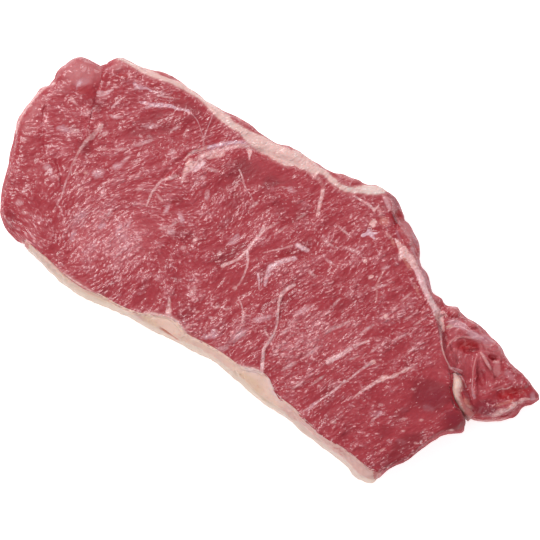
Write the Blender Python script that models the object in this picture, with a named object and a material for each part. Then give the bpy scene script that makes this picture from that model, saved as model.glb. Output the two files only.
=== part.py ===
"""Raw beef striploin steak: one thick slice lying on its cut face.

It is two pieces. "lean" is all the red meat: the big slice, the darker lobe and the tail of trim
that hang on its bone side. "fat_cap" is the layer of fat on the opposite long side, which runs
through the whole thickness. Seams and folds are relief in the lean meat.

+X runs from the round end to the tail, +Y from the fat to the bone side, and +Z is up.
The origin is on the resting face, under the middle of the outline.
Sizes are in millimetres here and become metres when a mesh is made.
"""

import math

import bpy
import numpy as np
from mathutils import Vector
from mathutils.geometry import delaunay_2d_cdt

MM = 0.001

THICKNESS = 19.5

# The top edge drops this many times its radius. The resting face lifts at its rim, and its cut
# under the top edge fades out over the reach.
DROP_PER_RADIUS = 1.2
FOOT_RADIUS = 2.6
FOOT_LIFT = 2.4
FOOT_REACH = 14.0

# The cut wall swells outward halfway down, more and less along the outline, and not at the join
# of the two pieces, which stay a hair apart.
WALL_BULGE = 0.7
BULGE_SHARE = 0.6
BULGE_SWING = 0.4
BULGE_LENGTH = 37.0
BULGE_REACH = 1.5
JOIN_GAP = 0.3

# Spacing of the mesh: along the outline, over the top face, over the folded trim beyond the side
# seam, along the folds and over the resting face, then the depths of the rings inside the rims
EDGE_STEP = 3.0
TOP_STEP = 2.95
TRIM_STEP = 2.1
FOLD_STEP = 2.2
FOOT_STEP = 8.0
RINGS = (0.5, 1.5, 3.2)
FOOT_RINGS = (1.0, 2.6)
WALL_ROWS = 3
CURVE_SAMPLES = 12

# The least distance between two points of the mesh, as a share of their spacing
CLOSE_SHARE = 0.45
FILL_SHARE = 0.6
LEAST_ROOM = 0.4
RING_FIT = 0.9

# The outline seen from above, round the steak from the round end's fat corner. Each stretch goes
# on from the last point of the one before.
START = (-84.8, -49.6)
ROUND_END = (
    (-94.3, -48.0), (-100.3, -44.4), (-104.2, -38.5), (-112.9, -19.3), (-117.0, -10.8),
    (-117.6, 0.0), (-117.0, 7.2), (-114.2, 10.4), (-114.9, 16.0), (-114.0, 21.8),
    (-111.0, 25.7), (-106.4, 27.0), (-102.2, 27.4),
)
BONE_SIDE = (
    (-99.8, 29.4), (-98.2, 33.6), (-93.3, 35.6), (-85.6, 37.4), (-79.3, 40.6), (-75.3, 41.3),
    (-66.9, 40.4), (-57.0, 40.2), (-42.0, 42.1), (-35.0, 41.4), (-26.0, 41.8), (-18.0, 44.2),
    (-3.0, 44.5), (3.3, 46.8), (11.1, 48.0), (17.0, 51.0),
)
SIDE_LOBE = (
    (20.0, 51.6), (26.5, 50.4), (32.6, 46.8), (38.9, 44.0), (44.4, 40.2), (48.7, 34.9),
    (53.4, 32.7), (59.4, 28.2),
)
TAIL = (
    (65.4, 26.8), (70.0, 28.8), (74.6, 27.8), (80.7, 28.1), (88.2, 27.0), (93.9, 25.3),
    (99.3, 22.5), (106.7, 21.0), (113.5, 20.2), (117.6, 17.6), (117.3, 14.2), (114.4, 11.4),
    (113.8, 6.9), (111.2, 3.0), (106.5, -0.6), (101.7, -3.1), (98.4, -3.8),
)
CREVICE = (
    (93.2, -1.7), (88.4, 2.4), (85.2, 6.0),
)
CREVICE_BACK = (
    (86.9, 1.1), (91.7, -3.4), (97.0, -6.0),
)
BLUNT_END = (
    (99.2, -7.6), (100.2, -10.6), (97.2, -13.6), (94.2, -16.8), (92.1, -23.0), (90.0, -29.0),
    (87.5, -35.5), (84.9, -41.2), (83.7, -44.5),
)
FAT_SIDE = (
    (83.6, -47.2), (80.6, -49.0), (75.8, -49.3), (69.5, -47.9), (58.2, -47.5), (42.8, -46.2),
    (28.8, -45.7), (4.0, -44.1), (-16.0, -46.8), (-36.0, -49.5), (-54.0, -52.8), (-62.0, -52.9),
    (-72.0, -51.4), (-84.5, -49.7),
)
# Each stretch with how far its foot is cut in under its top edge, and the radius of that edge
STRETCHES = (
    (ROUND_END, 1.6, 5.5), (BONE_SIDE, 1.2, 3.4), (SIDE_LOBE, 0.4, 4.4), (TAIL, 0.4, 4.6),
    (CREVICE, 0.0, 3.0), (CREVICE_BACK, 0.0, 2.6), (BLUNT_END, 2.2, 2.4), (FAT_SIDE, 0.2, 2.6),
)

# The layer of fat: its depth at each end, and the wedges where it runs in between two muscles,
# each as (place along X, extra depth, half its length)
FAT_DEPTHS = (1.3, 3.9)
FAT_WEDGES = ((-19.5, 3.6, 11.0), (24.0, 4.0, 11.0))
FAT_SINK = 0.35

# How far the layer's first point on its inner side, and its corner, stand off the outline's corner
FAT_END_BACK = 1.2
FAT_CORNER = (0.1, -0.2)

# The seam beyond which the lobe and the tail lie lower, and how much lower along X
SIDE_SEAM = ((12.0, 55.0), (20.5, 50.6), (33.0, 41.4), (46.0, 34.6), (60.0, 24.0), (73.0, 13.4),
             (84.0, 5.6), (98.0, -5.4), (106.0, -12.0))
SEAM_DROPS = ((15.0, 2.0), (35.0, 4.4), (56.0, 2.6), (76.0, 5.0), (100.0, 6.2))
SEAM_WIDTH = 3.6

# Soft rises and hollows of the top face: (x, y, half length, half width, turn in degrees, height)
RISES = (
    (-106.0, 17.0, 13.0, 10.0, 20.0, 1.1),
    (-108.0, -14.0, 12.0, 20.0, 20.0, 0.5),
    (-72.0, -6.0, 34.0, 26.0, 0.0, 0.7),
    (22.0, 0.0, 58.0, 34.0, -8.0, 1.0),
    (36.0, 45.0, 10.0, 4.5, -35.0, 0.9),
    (100.0, 5.0, 13.0, 9.0, 30.0, 1.6),
    (71.6, 26.4, 4.2, 3.0, 0.0, 1.3),
    (81.3, 26.0, 4.6, 2.8, -10.0, 1.2),
    (102.0, -10.5, 10.0, 8.0, 0.0, -3.4),
)

# Folds of the top face, and ridges where the depth is negative: (depth, half width, route).
# They reach full depth in from their ends, and the mesh has points on both banks.
FOLD_FADE = 4.0
FOLD_END = 0.3
BANK_SHARE = 0.8
VALLEY_BY_ROUND_END = (1.7, 2.6, ((-100.8, 28.5), (-97.8, 20.0), (-94.5, 11.0), (-90.0, 2.0)))
CREASES_IN_ROUND_END = (
    (0.9, 1.8, ((-111.0, 1.0), (-105.0, -9.0), (-98.0, -17.0))),
    (0.8, 1.8, ((-96.0, -12.0), (-91.0, -17.0), (-85.0, -23.0))),
)
SEAM_ROUND_THE_EYE = (
    (0.8, 2.2, ((-35.0, 34.0), (-44.0, 25.0), (-52.0, 14.0), (-54.0, -1.0), (-51.0, -11.0))),
    (1.0, 2.4, ((-12.0, 38.5), (-24.0, 36.0), (-37.0, 31.5))),
    (0.7, 2.0, ((21.0, -36.0), (17.5, -20.0), (11.5, -6.0))),
)
CLEFT_BY_LOBE = (2.2, 2.0, ((28.0, 46.0), (33.0, 42.6)))
CLEFT_BY_TAIL = (2.6, 1.8, ((66.0, 21.0), (72.6, 16.4), (76.8, 11.6), (84.0, 6.4)))
TAIL_FORMS = (
    (-1.7, 4.6, ((74.0, 23.0), (89.5, 23.8), (98.0, 20.6), (106.0, 17.6), (113.5, 16.2))),
    (-0.9, 1.8, ((88.0, 16.9), (91.8, 9.9), (97.3, 2.5))),
    (-0.9, 1.7, ((89.6, 18.6), (95.4, 15.4), (98.6, 12.6))),
    (-1.2, 2.6, ((87.0, 6.4), (90.8, 2.2), (95.0, -0.6), (99.5, -1.6))),
    (-1.1, 3.0, ((103.0, 1.8), (107.4, 4.8), (110.6, 9.0), (112.0, 13.2))),
    (1.9, 3.6, ((79.0, 17.2), (83.5, 17.8), (87.6, 18.6))),
    (1.5, 3.0, ((102.5, 8.6), (107.6, 12.6), (111.6, 15.4))),
    (1.1, 2.8, ((92.6, 13.4), (96.6, 8.2))),
    (2.4, 1.7, ((92.8, 20.0), (96.8, 19.4))),
)
FOLDS = (
    VALLEY_BY_ROUND_END, *CREASES_IN_ROUND_END, *SEAM_ROUND_THE_EYE, CLEFT_BY_LOBE, CLEFT_BY_TAIL,
    *TAIL_FORMS,
)

# Slow unevenness left by the knife: (wavelength, direction in degrees, height)
WAVES = ((46.0, 20.0, 0.28), (27.0, 105.0, 0.20), (17.0, 60.0, 0.12))

LEAN_COLOUR = (0.46, 0.098, 0.105, 1.0)
LEAN_ROUGHNESS = 0.42
FAT_COLOUR = (0.77, 0.58, 0.44, 1.0)
FAT_ROUGHNESS = 0.5


def clear_scene():
    for old in list(bpy.data.objects):
        bpy.data.objects.remove(old)


def ease(t):
    """0 below 0, 1 above 1, and a smooth step between."""
    t = np.clip(t, 0.0, 1.0)
    return t * t * (3.0 - 2.0 * t)


def spline(points, step):
    """Points about a step apart on a smooth curve through the given ones, both ends included."""
    given = np.array(points, float)
    padded = np.vstack([2 * given[0] - given[1], given, 2 * given[-1] - given[-2]])
    fine = []
    for a, b, c, d in zip(padded, padded[1:], padded[2:], padded[3:]):
        for t in np.linspace(0.0, 1.0, CURVE_SAMPLES, endpoint=False):
            fine.append(0.5 * (2 * b + (c - a) * t + (2 * a - 5 * b + 4 * c - d) * t**2
                               + (3 * b - a - 3 * c + d) * t**3))
    fine = np.vstack([fine, given[-1]])
    run = np.concatenate([[0.0], np.cumsum(np.linalg.norm(np.diff(fine, axis=0), axis=1))])
    count = max(2, round(run[-1] / step) + 1)
    even = np.linspace(0.0, run[-1], count)
    return np.column_stack([np.interp(even, run, fine[:, 0]), np.interp(even, run, fine[:, 1])])


class Outline:
    """The closed outline of the whole slice, with its rim's radius and its foot's cut, by point."""

    def __init__(self):
        points, insets, radii = [], [], []
        last = START
        for stretch, inset, radius in STRETCHES:
            run = spline((last,) + stretch, EDGE_STEP)[1:]
            points.append(run)
            insets.append(np.full(len(run), inset))
            radii.append(np.full(len(run), radius))
            last = stretch[-1]
        self.points = np.vstack(points)
        self.insets = smoothed(np.concatenate(insets))
        self.radii = smoothed(np.concatenate(radii))
        self.normals = outward(self.points)
        self.foot = self.pushed(self.points, 1.0)

    def at(self, points):
        """Each point's distance to the outline and the number of the outline's nearest point."""
        gap, place = nearest(points, self.points)
        return gap, np.round(place).astype(int) % len(self.points)

    def pushed(self, points, share):
        """Points of the plan moved in from the outline, fully at it and less and less inside."""
        gap, k = self.at(points)
        reach = ease(1.0 - gap / FOOT_REACH)
        return points - self.normals[k] * (self.insets[k] * share * reach)[:, None]


def smoothed(values, reach=3):
    """Running mean round a closed loop."""
    return np.mean([np.roll(values, k) for k in range(-reach, reach + 1)], axis=0)


def outward(loop):
    """Unit normals of a clockwise loop, evened out so that neighbours never cross."""
    along = np.roll(loop, -1, axis=0) - np.roll(loop, 1, axis=0)
    normal = np.column_stack([-along[:, 1], along[:, 0]])
    normal /= np.linalg.norm(normal, axis=1)[:, None]
    normal = np.column_stack([smoothed(normal[:, 0], 1), smoothed(normal[:, 1], 1)])
    return normal / np.linalg.norm(normal, axis=1)[:, None]


def nearest(points, line, closed=True):
    """For each point: its distance to a polyline, and the place on it as index plus fraction."""
    a = line if closed else line[:-1]
    b = np.roll(line, -1, axis=0) if closed else line[1:]
    step = b - a
    length2 = np.maximum((step**2).sum(1), 1e-12)
    t = np.clip(((points[:, None] - a) * step).sum(2) / length2, 0.0, 1.0)
    gap = np.linalg.norm(points[:, None] - (a + t[:, :, None] * step), axis=2)
    best = gap.argmin(1)
    rows = np.arange(len(points))
    return gap[rows, best], best + t[rows, best]


def inside(points, loop):
    """True for the points that a closed loop holds."""
    x, y = points[:, 0, None], points[:, 1, None]
    x0, y0 = loop[:, 0], loop[:, 1]
    x1, y1 = np.roll(x0, -1), np.roll(y0, -1)
    crosses = (y0 > y) != (y1 > y)
    at = (x1 - x0) * (y - y0) / np.where(y1 == y0, 1e-12, y1 - y0) + x0
    return ((crosses & (x < at)).sum(1) % 2) == 1


def beyond_seam(points):
    """How far each point lies past the side seam, negative on the main slice's side."""
    seam = np.array(SIDE_SEAM)
    gap, place = nearest(points, seam, closed=False)
    k = np.minimum(place.astype(int), len(seam) - 2)
    along = seam[k + 1] - seam[k]
    off = points - seam[k]
    side = along[:, 0] * off[:, 1] - along[:, 1] * off[:, 0]
    return gap * np.sign(side)


def rise_height(points):
    """Height of all the soft rises and hollows together."""
    total = np.zeros(len(points))
    for x, y, long_half, wide_half, turn, height in RISES:
        c, s = math.cos(math.radians(turn)), math.sin(math.radians(turn))
        dx, dy = points[:, 0] - x, points[:, 1] - y
        r = np.hypot((dx * c + dy * s) / long_half, (dy * c - dx * s) / wide_half)
        total += height * ease(1.0 - r)
    return total


def fold_depth(points):
    """Depth of the folds less the ridges' height. Both fade out at their ends."""
    total = np.zeros(len(points))
    for depth, half, route in FOLDS:
        line = spline(route, FOLD_STEP)
        gap, place = nearest(points, line, closed=False)
        share = place / (len(line) - 1)
        fade = ease(FOLD_FADE * share + FOLD_END) * ease(FOLD_FADE * (1 - share) + FOLD_END)
        total += depth * fade * ease(1.0 - gap / half)
    return total


def top_height(points, outline):
    """Height of the top face, rounded down towards the outline."""
    z = THICKNESS + rise_height(points) - fold_depth(points)
    for length, turn, height in WAVES:
        a = math.radians(turn)
        phase = (points[:, 0] * math.cos(a) + points[:, 1] * math.sin(a)) / length
        z += height * np.sin(2 * math.pi * phase + length)
    drops = np.array(SEAM_DROPS)
    drop = np.interp(points[:, 0], drops[:, 0], drops[:, 1])
    z -= drop * ease(beyond_seam(points) / SEAM_WIDTH)
    gap, k = outline.at(points)
    radius = outline.radii[k]
    edge = np.clip(1.0 - gap / radius, 0.0, 1.0)
    return z - DROP_PER_RADIUS * radius * (1.0 - np.sqrt(1.0 - edge**2))


def foot_height(points, foot):
    """Height of the resting face: flat, and rounded up at its rim."""
    edge = np.clip(1.0 - nearest(points, foot)[0] / FOOT_RADIUS, 0.0, 1.0)
    return FOOT_LIFT * (1.0 - np.sqrt(1.0 - edge**2))


def lattice(low, high, step):
    """A triangular lattice of points over a box of the plan."""
    rows = np.arange(low[1], high[1], step * math.sqrt(3) / 2)
    return np.array([(x, y) for j, y in enumerate(rows)
                     for x in np.arange(low[0] + (j % 2) * step / 2, high[0], step)])


def spread_points(loop, rings, fill, keep=()):
    """Points inside a loop: those to keep, rings just inside it, then the filling lattices."""
    chosen = [np.array(p) for p in keep]
    normal = outward(loop)
    for depth in rings:
        ring = loop - normal * depth
        fits = inside(ring, loop) & (nearest(ring, loop)[0] > RING_FIT * depth)
        room = max(CLOSE_SHARE * depth, LEAST_ROOM)
        for p in ring[fits]:
            if not chosen or np.linalg.norm(np.array(chosen) - p, axis=1).min() > room:
                chosen.append(p)
    taken = np.array(chosen)
    for points, step in fill:
        points = points[inside(points, loop)]
        points = points[nearest(points, loop)[0] > rings[-1] + CLOSE_SHARE * step]
        if len(points):
            gap = np.array([np.linalg.norm(taken - p, axis=1).min() for p in points])
            taken = np.vstack([taken, points[gap > FILL_SHARE * step]])
    return taken


def top_fill(loop):
    """The top face's lattices: a finer one beyond the side seam, where the trim is folded."""
    fine = lattice(loop.min(0), loop.max(0), TRIM_STEP)
    plain = lattice(loop.min(0), loop.max(0), TOP_STEP)
    trim = beyond_seam(fine) > -SEAM_WIDTH / 2
    return ((fine[trim], TRIM_STEP), (plain, TOP_STEP))


def banks(route, shifts):
    """Points along a route and beside it, at each sideways shift."""
    line = spline(route, FOLD_STEP)
    along = np.gradient(line, axis=0)
    across = np.column_stack([-along[:, 1], along[:, 0]])
    across /= np.linalg.norm(across, axis=1)[:, None]
    return [line + across * shift for shift in shifts]


def fold_points(loop):
    """Points along the side seam and each fold, and on their banks, for the mesh to follow."""
    found = banks(SIDE_SEAM, (0.0, SEAM_WIDTH))
    for _, half, route in FOLDS:
        found += banks(route, (0.0, -BANK_SHARE * half, BANK_SHARE * half))
    found = np.vstack(found)
    found = found[inside(found, loop)]
    found = found[nearest(found, loop)[0] > RINGS[-1]]
    kept = [found[0]]
    for p in found[1:]:
        if np.linalg.norm(np.array(kept) - p, axis=1).min() > CLOSE_SHARE * FOLD_STEP:
            kept.append(p)
    return kept


def triangles(loop, inner):
    """Indices of the triangles that join a clockwise loop and the points inside it."""
    count = len(loop)
    flat = [Vector(p) for p in np.vstack([loop, inner])]
    ring = [(k, (k + 1) % count) for k in range(count)]
    made = delaunay_2d_cdt(flat, ring, [], 1, 1e-6)
    if len(made[0]) != len(flat):
        raise ValueError("the outline crosses itself")
    return [tuple(f) for f in made[2]]


def solid(loop, outline, sink=0.0, keep=()):
    """The vertices and faces of a closed piece of the slice over one loop of the plan."""
    foot_loop = outline.pushed(loop, 1.0)
    top_inner = spread_points(loop, RINGS, top_fill(loop), keep)
    foot_fill = ((lattice(foot_loop.min(0), foot_loop.max(0), FOOT_STEP), FOOT_STEP),)
    foot_inner = spread_points(foot_loop, FOOT_RINGS, foot_fill)
    top = np.vstack([loop, top_inner])
    top_z = top_height(top, outline) - sink
    foot = np.vstack([foot_loop, foot_inner])
    foot_z = foot_height(foot, outline.foot)
    vertices = [(*p, z) for p, z in zip(top, top_z)] + [(*p, z) for p, z in zip(foot, foot_z)]
    faces = triangles(loop, top_inner)
    faces += [tuple(len(top) + k for k in f) for f in triangles(foot_loop, foot_inner)]

    n = len(loop)
    gap, k = outline.at(loop)
    swell = BULGE_SHARE + BULGE_SWING * np.sin(2 * math.pi * k * EDGE_STEP / BULGE_LENGTH)
    bulge = outline.normals[k] * (ease(1.0 - gap / BULGE_REACH) * swell * WALL_BULGE)[:, None]
    rows = [list(range(n))]
    for row in range(1, WALL_ROWS + 1):
        share = row / (WALL_ROWS + 1)
        plan = outline.pushed(loop, share**2) + bulge * math.sin(math.pi * share)
        z = top_z[:n] * (1 - share) + foot_z[:n] * share
        rows.append(list(range(len(vertices), len(vertices) + n)))
        vertices += [(*p, h) for p, h in zip(plan, z)]
    rows.append(list(range(len(top), len(top) + n)))
    for upper, lower in zip(rows, rows[1:]):
        for k in range(n):
            after = (k + 1) % n
            faces.append((upper[k], upper[after], lower[after]))
            faces.append((upper[k], lower[after], lower[k]))
    return np.array(vertices), faces


def mesh_object(name, vertices, faces, colour, roughness):
    mesh = bpy.data.meshes.new(name)
    mesh.from_pydata([Vector(v) * MM for v in vertices], [], faces)
    piece = bpy.data.objects.new(name, mesh)
    bpy.context.scene.collection.objects.link(piece)
    bpy.context.view_layer.objects.active = piece
    bpy.ops.object.mode_set(mode="EDIT")
    bpy.ops.mesh.select_all(action="SELECT")
    bpy.ops.mesh.normals_make_consistent(inside=False)
    bpy.ops.object.mode_set(mode="OBJECT")
    mesh.shade_smooth()
    material = bpy.data.materials.new(name)
    material.use_nodes = True
    shader = material.node_tree.nodes["Principled BSDF"]
    shader.inputs["Base Color"].default_value = colour
    shader.inputs["Roughness"].default_value = roughness
    shader.inputs["Metallic"].default_value = 0.0
    mesh.materials.append(material)


def fat_depth(x, ends):
    """Depth of the layer of fat at a place along X."""
    share = (x - ends[0]) / (ends[1] - ends[0])
    depth = FAT_DEPTHS[0] + (FAT_DEPTHS[1] - FAT_DEPTHS[0]) * share
    for middle, extra, half in FAT_WEDGES:
        depth = depth + extra * ease(1.0 - np.abs(x - middle) / half)
    return depth


def split_outline(outline):
    """The loops of the two pieces: the lean meat, and the layer of fat along the -Y side."""
    fat_count = len(spline((BLUNT_END[-1],) + FAT_SIDE, EDGE_STEP)) - 1
    corner, side = outline[-fat_count - 1], outline[-fat_count:]
    ends = (side[-1, 0], side[:, 0].max())
    order = np.argsort(side[:, 0])
    x = np.arange(corner[0] - FAT_END_BACK, ends[0] + CLOSE_SHARE * EDGE_STEP, -EDGE_STEP)
    x = np.append(x, ends[0])
    y = np.interp(x, side[order, 0], side[order, 1]) + fat_depth(x, ends)
    line = np.column_stack([x, y])
    lift = np.array((0.0, JOIN_GAP))
    fat = np.vstack([corner + FAT_CORNER, side, line[::-1]])
    lean = np.vstack([outline[:-fat_count], line + lift, line[-1:] + (-JOIN_GAP, JOIN_GAP)])
    return lean, fat


def main():
    clear_scene()
    outline = Outline()
    lean_loop, fat_loop = split_outline(outline.points)
    lean, lean_faces = solid(lean_loop, outline, keep=fold_points(lean_loop))
    fat, fat_faces = solid(fat_loop, outline, FAT_SINK)
    both = np.vstack([lean, fat])
    middle = (both.min(0) + both.max(0)) / 2 * (1.0, 1.0, 0.0)
    mesh_object("lean", lean - middle, lean_faces, LEAN_COLOUR, LEAN_ROUGHNESS)
    mesh_object("fat_cap", fat - middle, fat_faces, FAT_COLOUR, FAT_ROUGHNESS)


main()
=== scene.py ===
# %% [markdown]
# # A raw beef striploin steak
#
# The object is one slice of beef, cut about 20 mm thick, lying on its cut face. It is red muscle
# with a layer of fat down one long side, a thin seam of fat down the other and a folded tail of
# trim at one corner. The frame that this script loads already holds its true form and size. What
# is left to make is what the eye reads as meat: the wet cut grain, the pale veins, the membranes
# and the many colours of red. All lengths below are in millimetres unless a name says otherwise.

import math
from functools import partial

import bmesh
import bpy
import numpy as np
from mathutils import Matrix, Vector, noise


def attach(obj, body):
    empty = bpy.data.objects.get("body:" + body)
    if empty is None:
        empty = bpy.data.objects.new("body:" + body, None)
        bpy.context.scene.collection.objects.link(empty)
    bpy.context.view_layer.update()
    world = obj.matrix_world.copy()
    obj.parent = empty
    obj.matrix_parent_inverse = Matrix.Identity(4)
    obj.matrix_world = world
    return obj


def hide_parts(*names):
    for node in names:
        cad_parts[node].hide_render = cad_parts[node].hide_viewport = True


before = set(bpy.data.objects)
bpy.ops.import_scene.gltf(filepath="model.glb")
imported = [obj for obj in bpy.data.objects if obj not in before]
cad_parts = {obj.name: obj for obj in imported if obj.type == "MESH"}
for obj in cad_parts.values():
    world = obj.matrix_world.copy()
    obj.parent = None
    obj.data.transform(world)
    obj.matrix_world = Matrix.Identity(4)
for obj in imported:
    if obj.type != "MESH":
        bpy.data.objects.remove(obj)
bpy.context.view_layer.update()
MM = 0.001

# %% [markdown]
# ## The camera
#
# The photo looks almost straight down, from 80 degrees above the table, with the steak turned so
# that its long side runs down to the right. A long lens from 0.9 m keeps the slice free of
# perspective. The camera is built from three directions: right in the picture, away along the
# table, and up. The same three directions later say which pixel of the photo shows a point of the
# meat, so that each vein can be drawn where the photo has it.

# %% The camera at the photo's angle
ELEVATION = math.radians(80.0)
TURN = math.radians(35.0)
DISTANCE = 900.0
MM_PER_PIXEL = 0.40
IMAGE_SIZE = 540
SENSOR_WIDTH = 36.0
AIM = Vector((0.556, -0.439, 10.0))

UPRIGHT = Vector((0.0, 0.0, 1.0))
RIGHT = Vector((math.cos(TURN), math.sin(TURN), 0.0))
AWAY = Vector((-math.sin(TURN), math.cos(TURN), 0.0))
BACK = UPRIGHT * math.sin(ELEVATION) - AWAY * math.cos(ELEVATION)
UP = AWAY * math.sin(ELEVATION) + UPRIGHT * math.cos(ELEVATION)
EYE = AIM + BACK * DISTANCE

lens = bpy.data.cameras.new("photo_camera")
lens.sensor_width = SENSOR_WIDTH
lens.lens = SENSOR_WIDTH * DISTANCE / (IMAGE_SIZE * MM_PER_PIXEL)
camera = bpy.data.objects.new("photo_camera", lens)
camera.matrix_world = Matrix.Translation(EYE * MM) @ Matrix((RIGHT, UP, BACK)).transposed().to_4x4()
bpy.context.scene.collection.objects.link(camera)
bpy.context.scene.camera = camera
print("lens:", lens.lens, "mm, eye at", [round(c, 1) for c in EYE])


def seen_at(points):
    """The pixel of the photo, as x and y, that shows each point of the steak."""
    offset = points - np.array(EYE)
    pixels_per_mm = DISTANCE / MM_PER_PIXEL / -(offset @ np.array(BACK))
    x = IMAGE_SIZE / 2 + offset @ np.array(RIGHT) * pixels_per_mm
    y = IMAGE_SIZE / 2 - offset @ np.array(UP) * pixels_per_mm
    return np.column_stack([x, y])


# %% [markdown]
# ## The points of a mesh
#
# A mesh keeps its points in metres, in one long row of numbers. Four small helpers read where the
# points are and which way the surface faces there, and put moved points back. All points are
# handled at once as arrays, which is far quicker than a loop over them.

# %% Read and move points
def coordinates(mesh):
    """The place of every point of a mesh, in metres."""
    places = np.empty(len(mesh.vertices) * 3)
    mesh.vertices.foreach_get("co", places)
    return places.reshape(-1, 3)


def points_of(piece):
    """Every point of a piece, in millimetres."""
    return coordinates(piece.data) / MM


def normals_of(piece):
    """The direction that the surface faces at every point of a piece."""
    facing = np.empty(len(piece.data.vertices) * 3)
    piece.data.vertex_normals.foreach_get("vector", facing)
    return facing.reshape(-1, 3)


def move_points(piece, points):
    """Puts every point of a piece at its new place, given in millimetres."""
    piece.data.vertices.foreach_set("co", (points * MM).ravel())
    piece.data.update()


for name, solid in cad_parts.items():
    print(name, "measures", np.ptp(points_of(solid), axis=0).round(1), "mm")

# %% [markdown]
# ## A finer mesh of each piece
#
# The frame's solids are made of triangles about 3 mm long. Meat has ridges and veins a millimetre
# wide, so each solid is copied and refined with a Subdivision Surface. Each level cuts every
# face's sides in two, so two levels bring the points to about 0.8 mm apart. The edges where lean
# and fat meet are creased first, or the subdivision would round them and open a groove there. A
# subdivision also pulls every point inwards, which would shrink the lobes and fill the notches.
# So the coarse points are first pushed out, round by round, until the smooth surface passes
# through the places where they started.

# %% Copy and refine a solid
JOIN_ANGLE = math.radians(60.0)
PUSH_ROUNDS = 4
PUSH_LIMIT = 0.8 * MM


def welded(mesh):
    """The points and triangles of a mesh, with points at the same place made one."""
    corners = np.empty(len(mesh.loops), int)
    mesh.loops.foreach_get("vertex_index", corners)
    points, number = np.unique(coordinates(mesh), axis=0, return_inverse=True)
    return points, number.ravel()[corners].reshape(-1, 3)


def smooth_form(coarse, points, name, levels):
    """A new object with the form that a Subdivision Surface gives to a coarse one with some points."""
    for corner, point in zip(coarse.verts, points):
        corner.co = point
    mesh = bpy.data.meshes.new(name)
    coarse.to_mesh(mesh)
    piece = bpy.data.objects.new(name, mesh)
    bpy.context.scene.collection.objects.link(piece)
    modifier = piece.modifiers.new("refine", "SUBSURF")
    modifier.levels = levels
    modifier.render_levels = levels
    shaped = piece.evaluated_get(bpy.context.evaluated_depsgraph_get())
    piece.data = bpy.data.meshes.new_from_object(shaped)
    piece.modifiers.clear()
    bpy.data.meshes.remove(mesh)
    return piece


def refined(node, name, levels):
    """A new object with the form of a node, smoothed and cut finer but not shrunk."""
    goal, triangles = welded(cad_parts[node].data)
    coarse = bmesh.new()
    corners = [coarse.verts.new(p) for p in goal]
    for triangle in triangles:
        coarse.faces.new([corners[k] for k in triangle])
    crease = coarse.edges.layers.float.new("crease_edge")
    for edge in coarse.edges:
        edge[crease] = float(edge.calc_face_angle(0.0) > JOIN_ANGLE)
    pushed = goal.copy()
    for _ in range(PUSH_ROUNDS):
        trial = smooth_form(coarse, pushed, "trial", 1)
        short = goal - coordinates(trial.data)[:len(goal)]
        bpy.data.objects.remove(trial)
        pushed = goal + np.clip(pushed + short - goal, -PUSH_LIMIT, PUSH_LIMIT)
    piece = smooth_form(coarse, pushed, name, levels)
    coarse.free()
    piece.data.shade_smooth()
    piece.data.name = name
    print(name, "has", len(piece.data.vertices), "points")
    return piece


lean = refined("lean", "lean_meat", 2)
fat = refined("fat_cap", "fat_layer", 3)

# %% [markdown]
# ## Fewer points where nothing fine lies
#
# The cut face needs all those points, but the walls and the underside can do with fewer. Decimate
# joins small faces into larger ones, and a vertex group keeps it to the places it is meant for.

# %% Thin the walls and the underside of the lean
# A point belongs to a wall or the underside if it faces up by less than this: 1 is straight up
WALL_FACING = 0.3
SHARE_KEPT = 0.735


def thinned(piece, where, share):
    """Joins small faces of a piece where a list says so, until only a share of all its faces is left."""
    group = piece.vertex_groups.new(name="thin")
    group.add(np.flatnonzero(where).tolist(), 1.0, "REPLACE")
    modifier = piece.modifiers.new("thin", "DECIMATE")
    modifier.vertex_group = group.name
    modifier.ratio = share
    fewer = piece.evaluated_get(bpy.context.evaluated_depsgraph_get())
    piece.data = bpy.data.meshes.new_from_object(fewer)
    piece.modifiers.clear()
    piece.vertex_groups.clear()
    piece.data.shade_smooth()
    piece.data.name = piece.name
    print(piece.name, "is thinned to", len(piece.data.vertices), "points")


thinned(lean, normals_of(lean)[:, 2] < WALL_FACING, SHARE_KEPT)

# %% [markdown]
# ## Helpers for painting and carving
#
# The rest of the work happens point by point. A few helpers do most of it: a smooth step, a
# natural unevenness of a chosen size, soft oval patches that are placed by the photo's pixels,
# and a store. What they find is either added to the shape, or stored on the mesh as an attribute
# that the material reads. An attribute rides on the mesh, so it stays in its place from every
# side.

# %% Smooth steps, unevenness and soft patches
def ease(values, start=0.0, end=1.0):
    """0 up to one limit, 1 from the other on, and a smooth step between."""
    t = np.clip((values - start) / (end - start), 0.0, 1.0)
    return t * t * (3.0 - 2.0 * t)


def uneven(points, size, shift=0.0):
    """Smooth unevenness from about -1 to 1 whose swells are about size millimetres across."""
    return np.array([noise.noise(Vector(p)) for p in points / size + shift]) * 2.0


def rippled(points, ripples):
    """The sum of some unevennesses, each given as (height, size in millimetres, shift)."""
    return sum(high * uneven(points, size, shift) for high, size, shift in ripples)


def turned(pixels, x, y, turn):
    """How far each pixel lies from one place, along and across a line that rises by turn degrees."""
    c, s = np.cos(np.radians(turn)), np.sin(np.radians(turn))
    right, down = (pixels - (x, y)).T
    return right * c - down * s, right * s + down * c


def patches(pixels, ovals):
    """The sum of some soft ovals, (x, y, half length, half width, turn, strength) each, at each pixel."""
    total = np.zeros(len(pixels))
    for x, y, half_long, half_wide, turn, strength in ovals:
        along, across = turned(pixels, x, y, turn)
        total += strength * ease(np.hypot(along / half_long, across / half_wide), 1.25, 0.25)
    return total


def store(piece, name, values):
    """Keeps a number or a direction for each point of a piece, under a name."""
    kind, field = ("FLOAT", "value") if values.ndim == 1 else ("FLOAT_VECTOR", "vector")
    layer = piece.data.attributes.new(name, kind, "POINT")
    layer.data.foreach_set(field, np.ascontiguousarray(values, dtype=np.float32).ravel())


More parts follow.
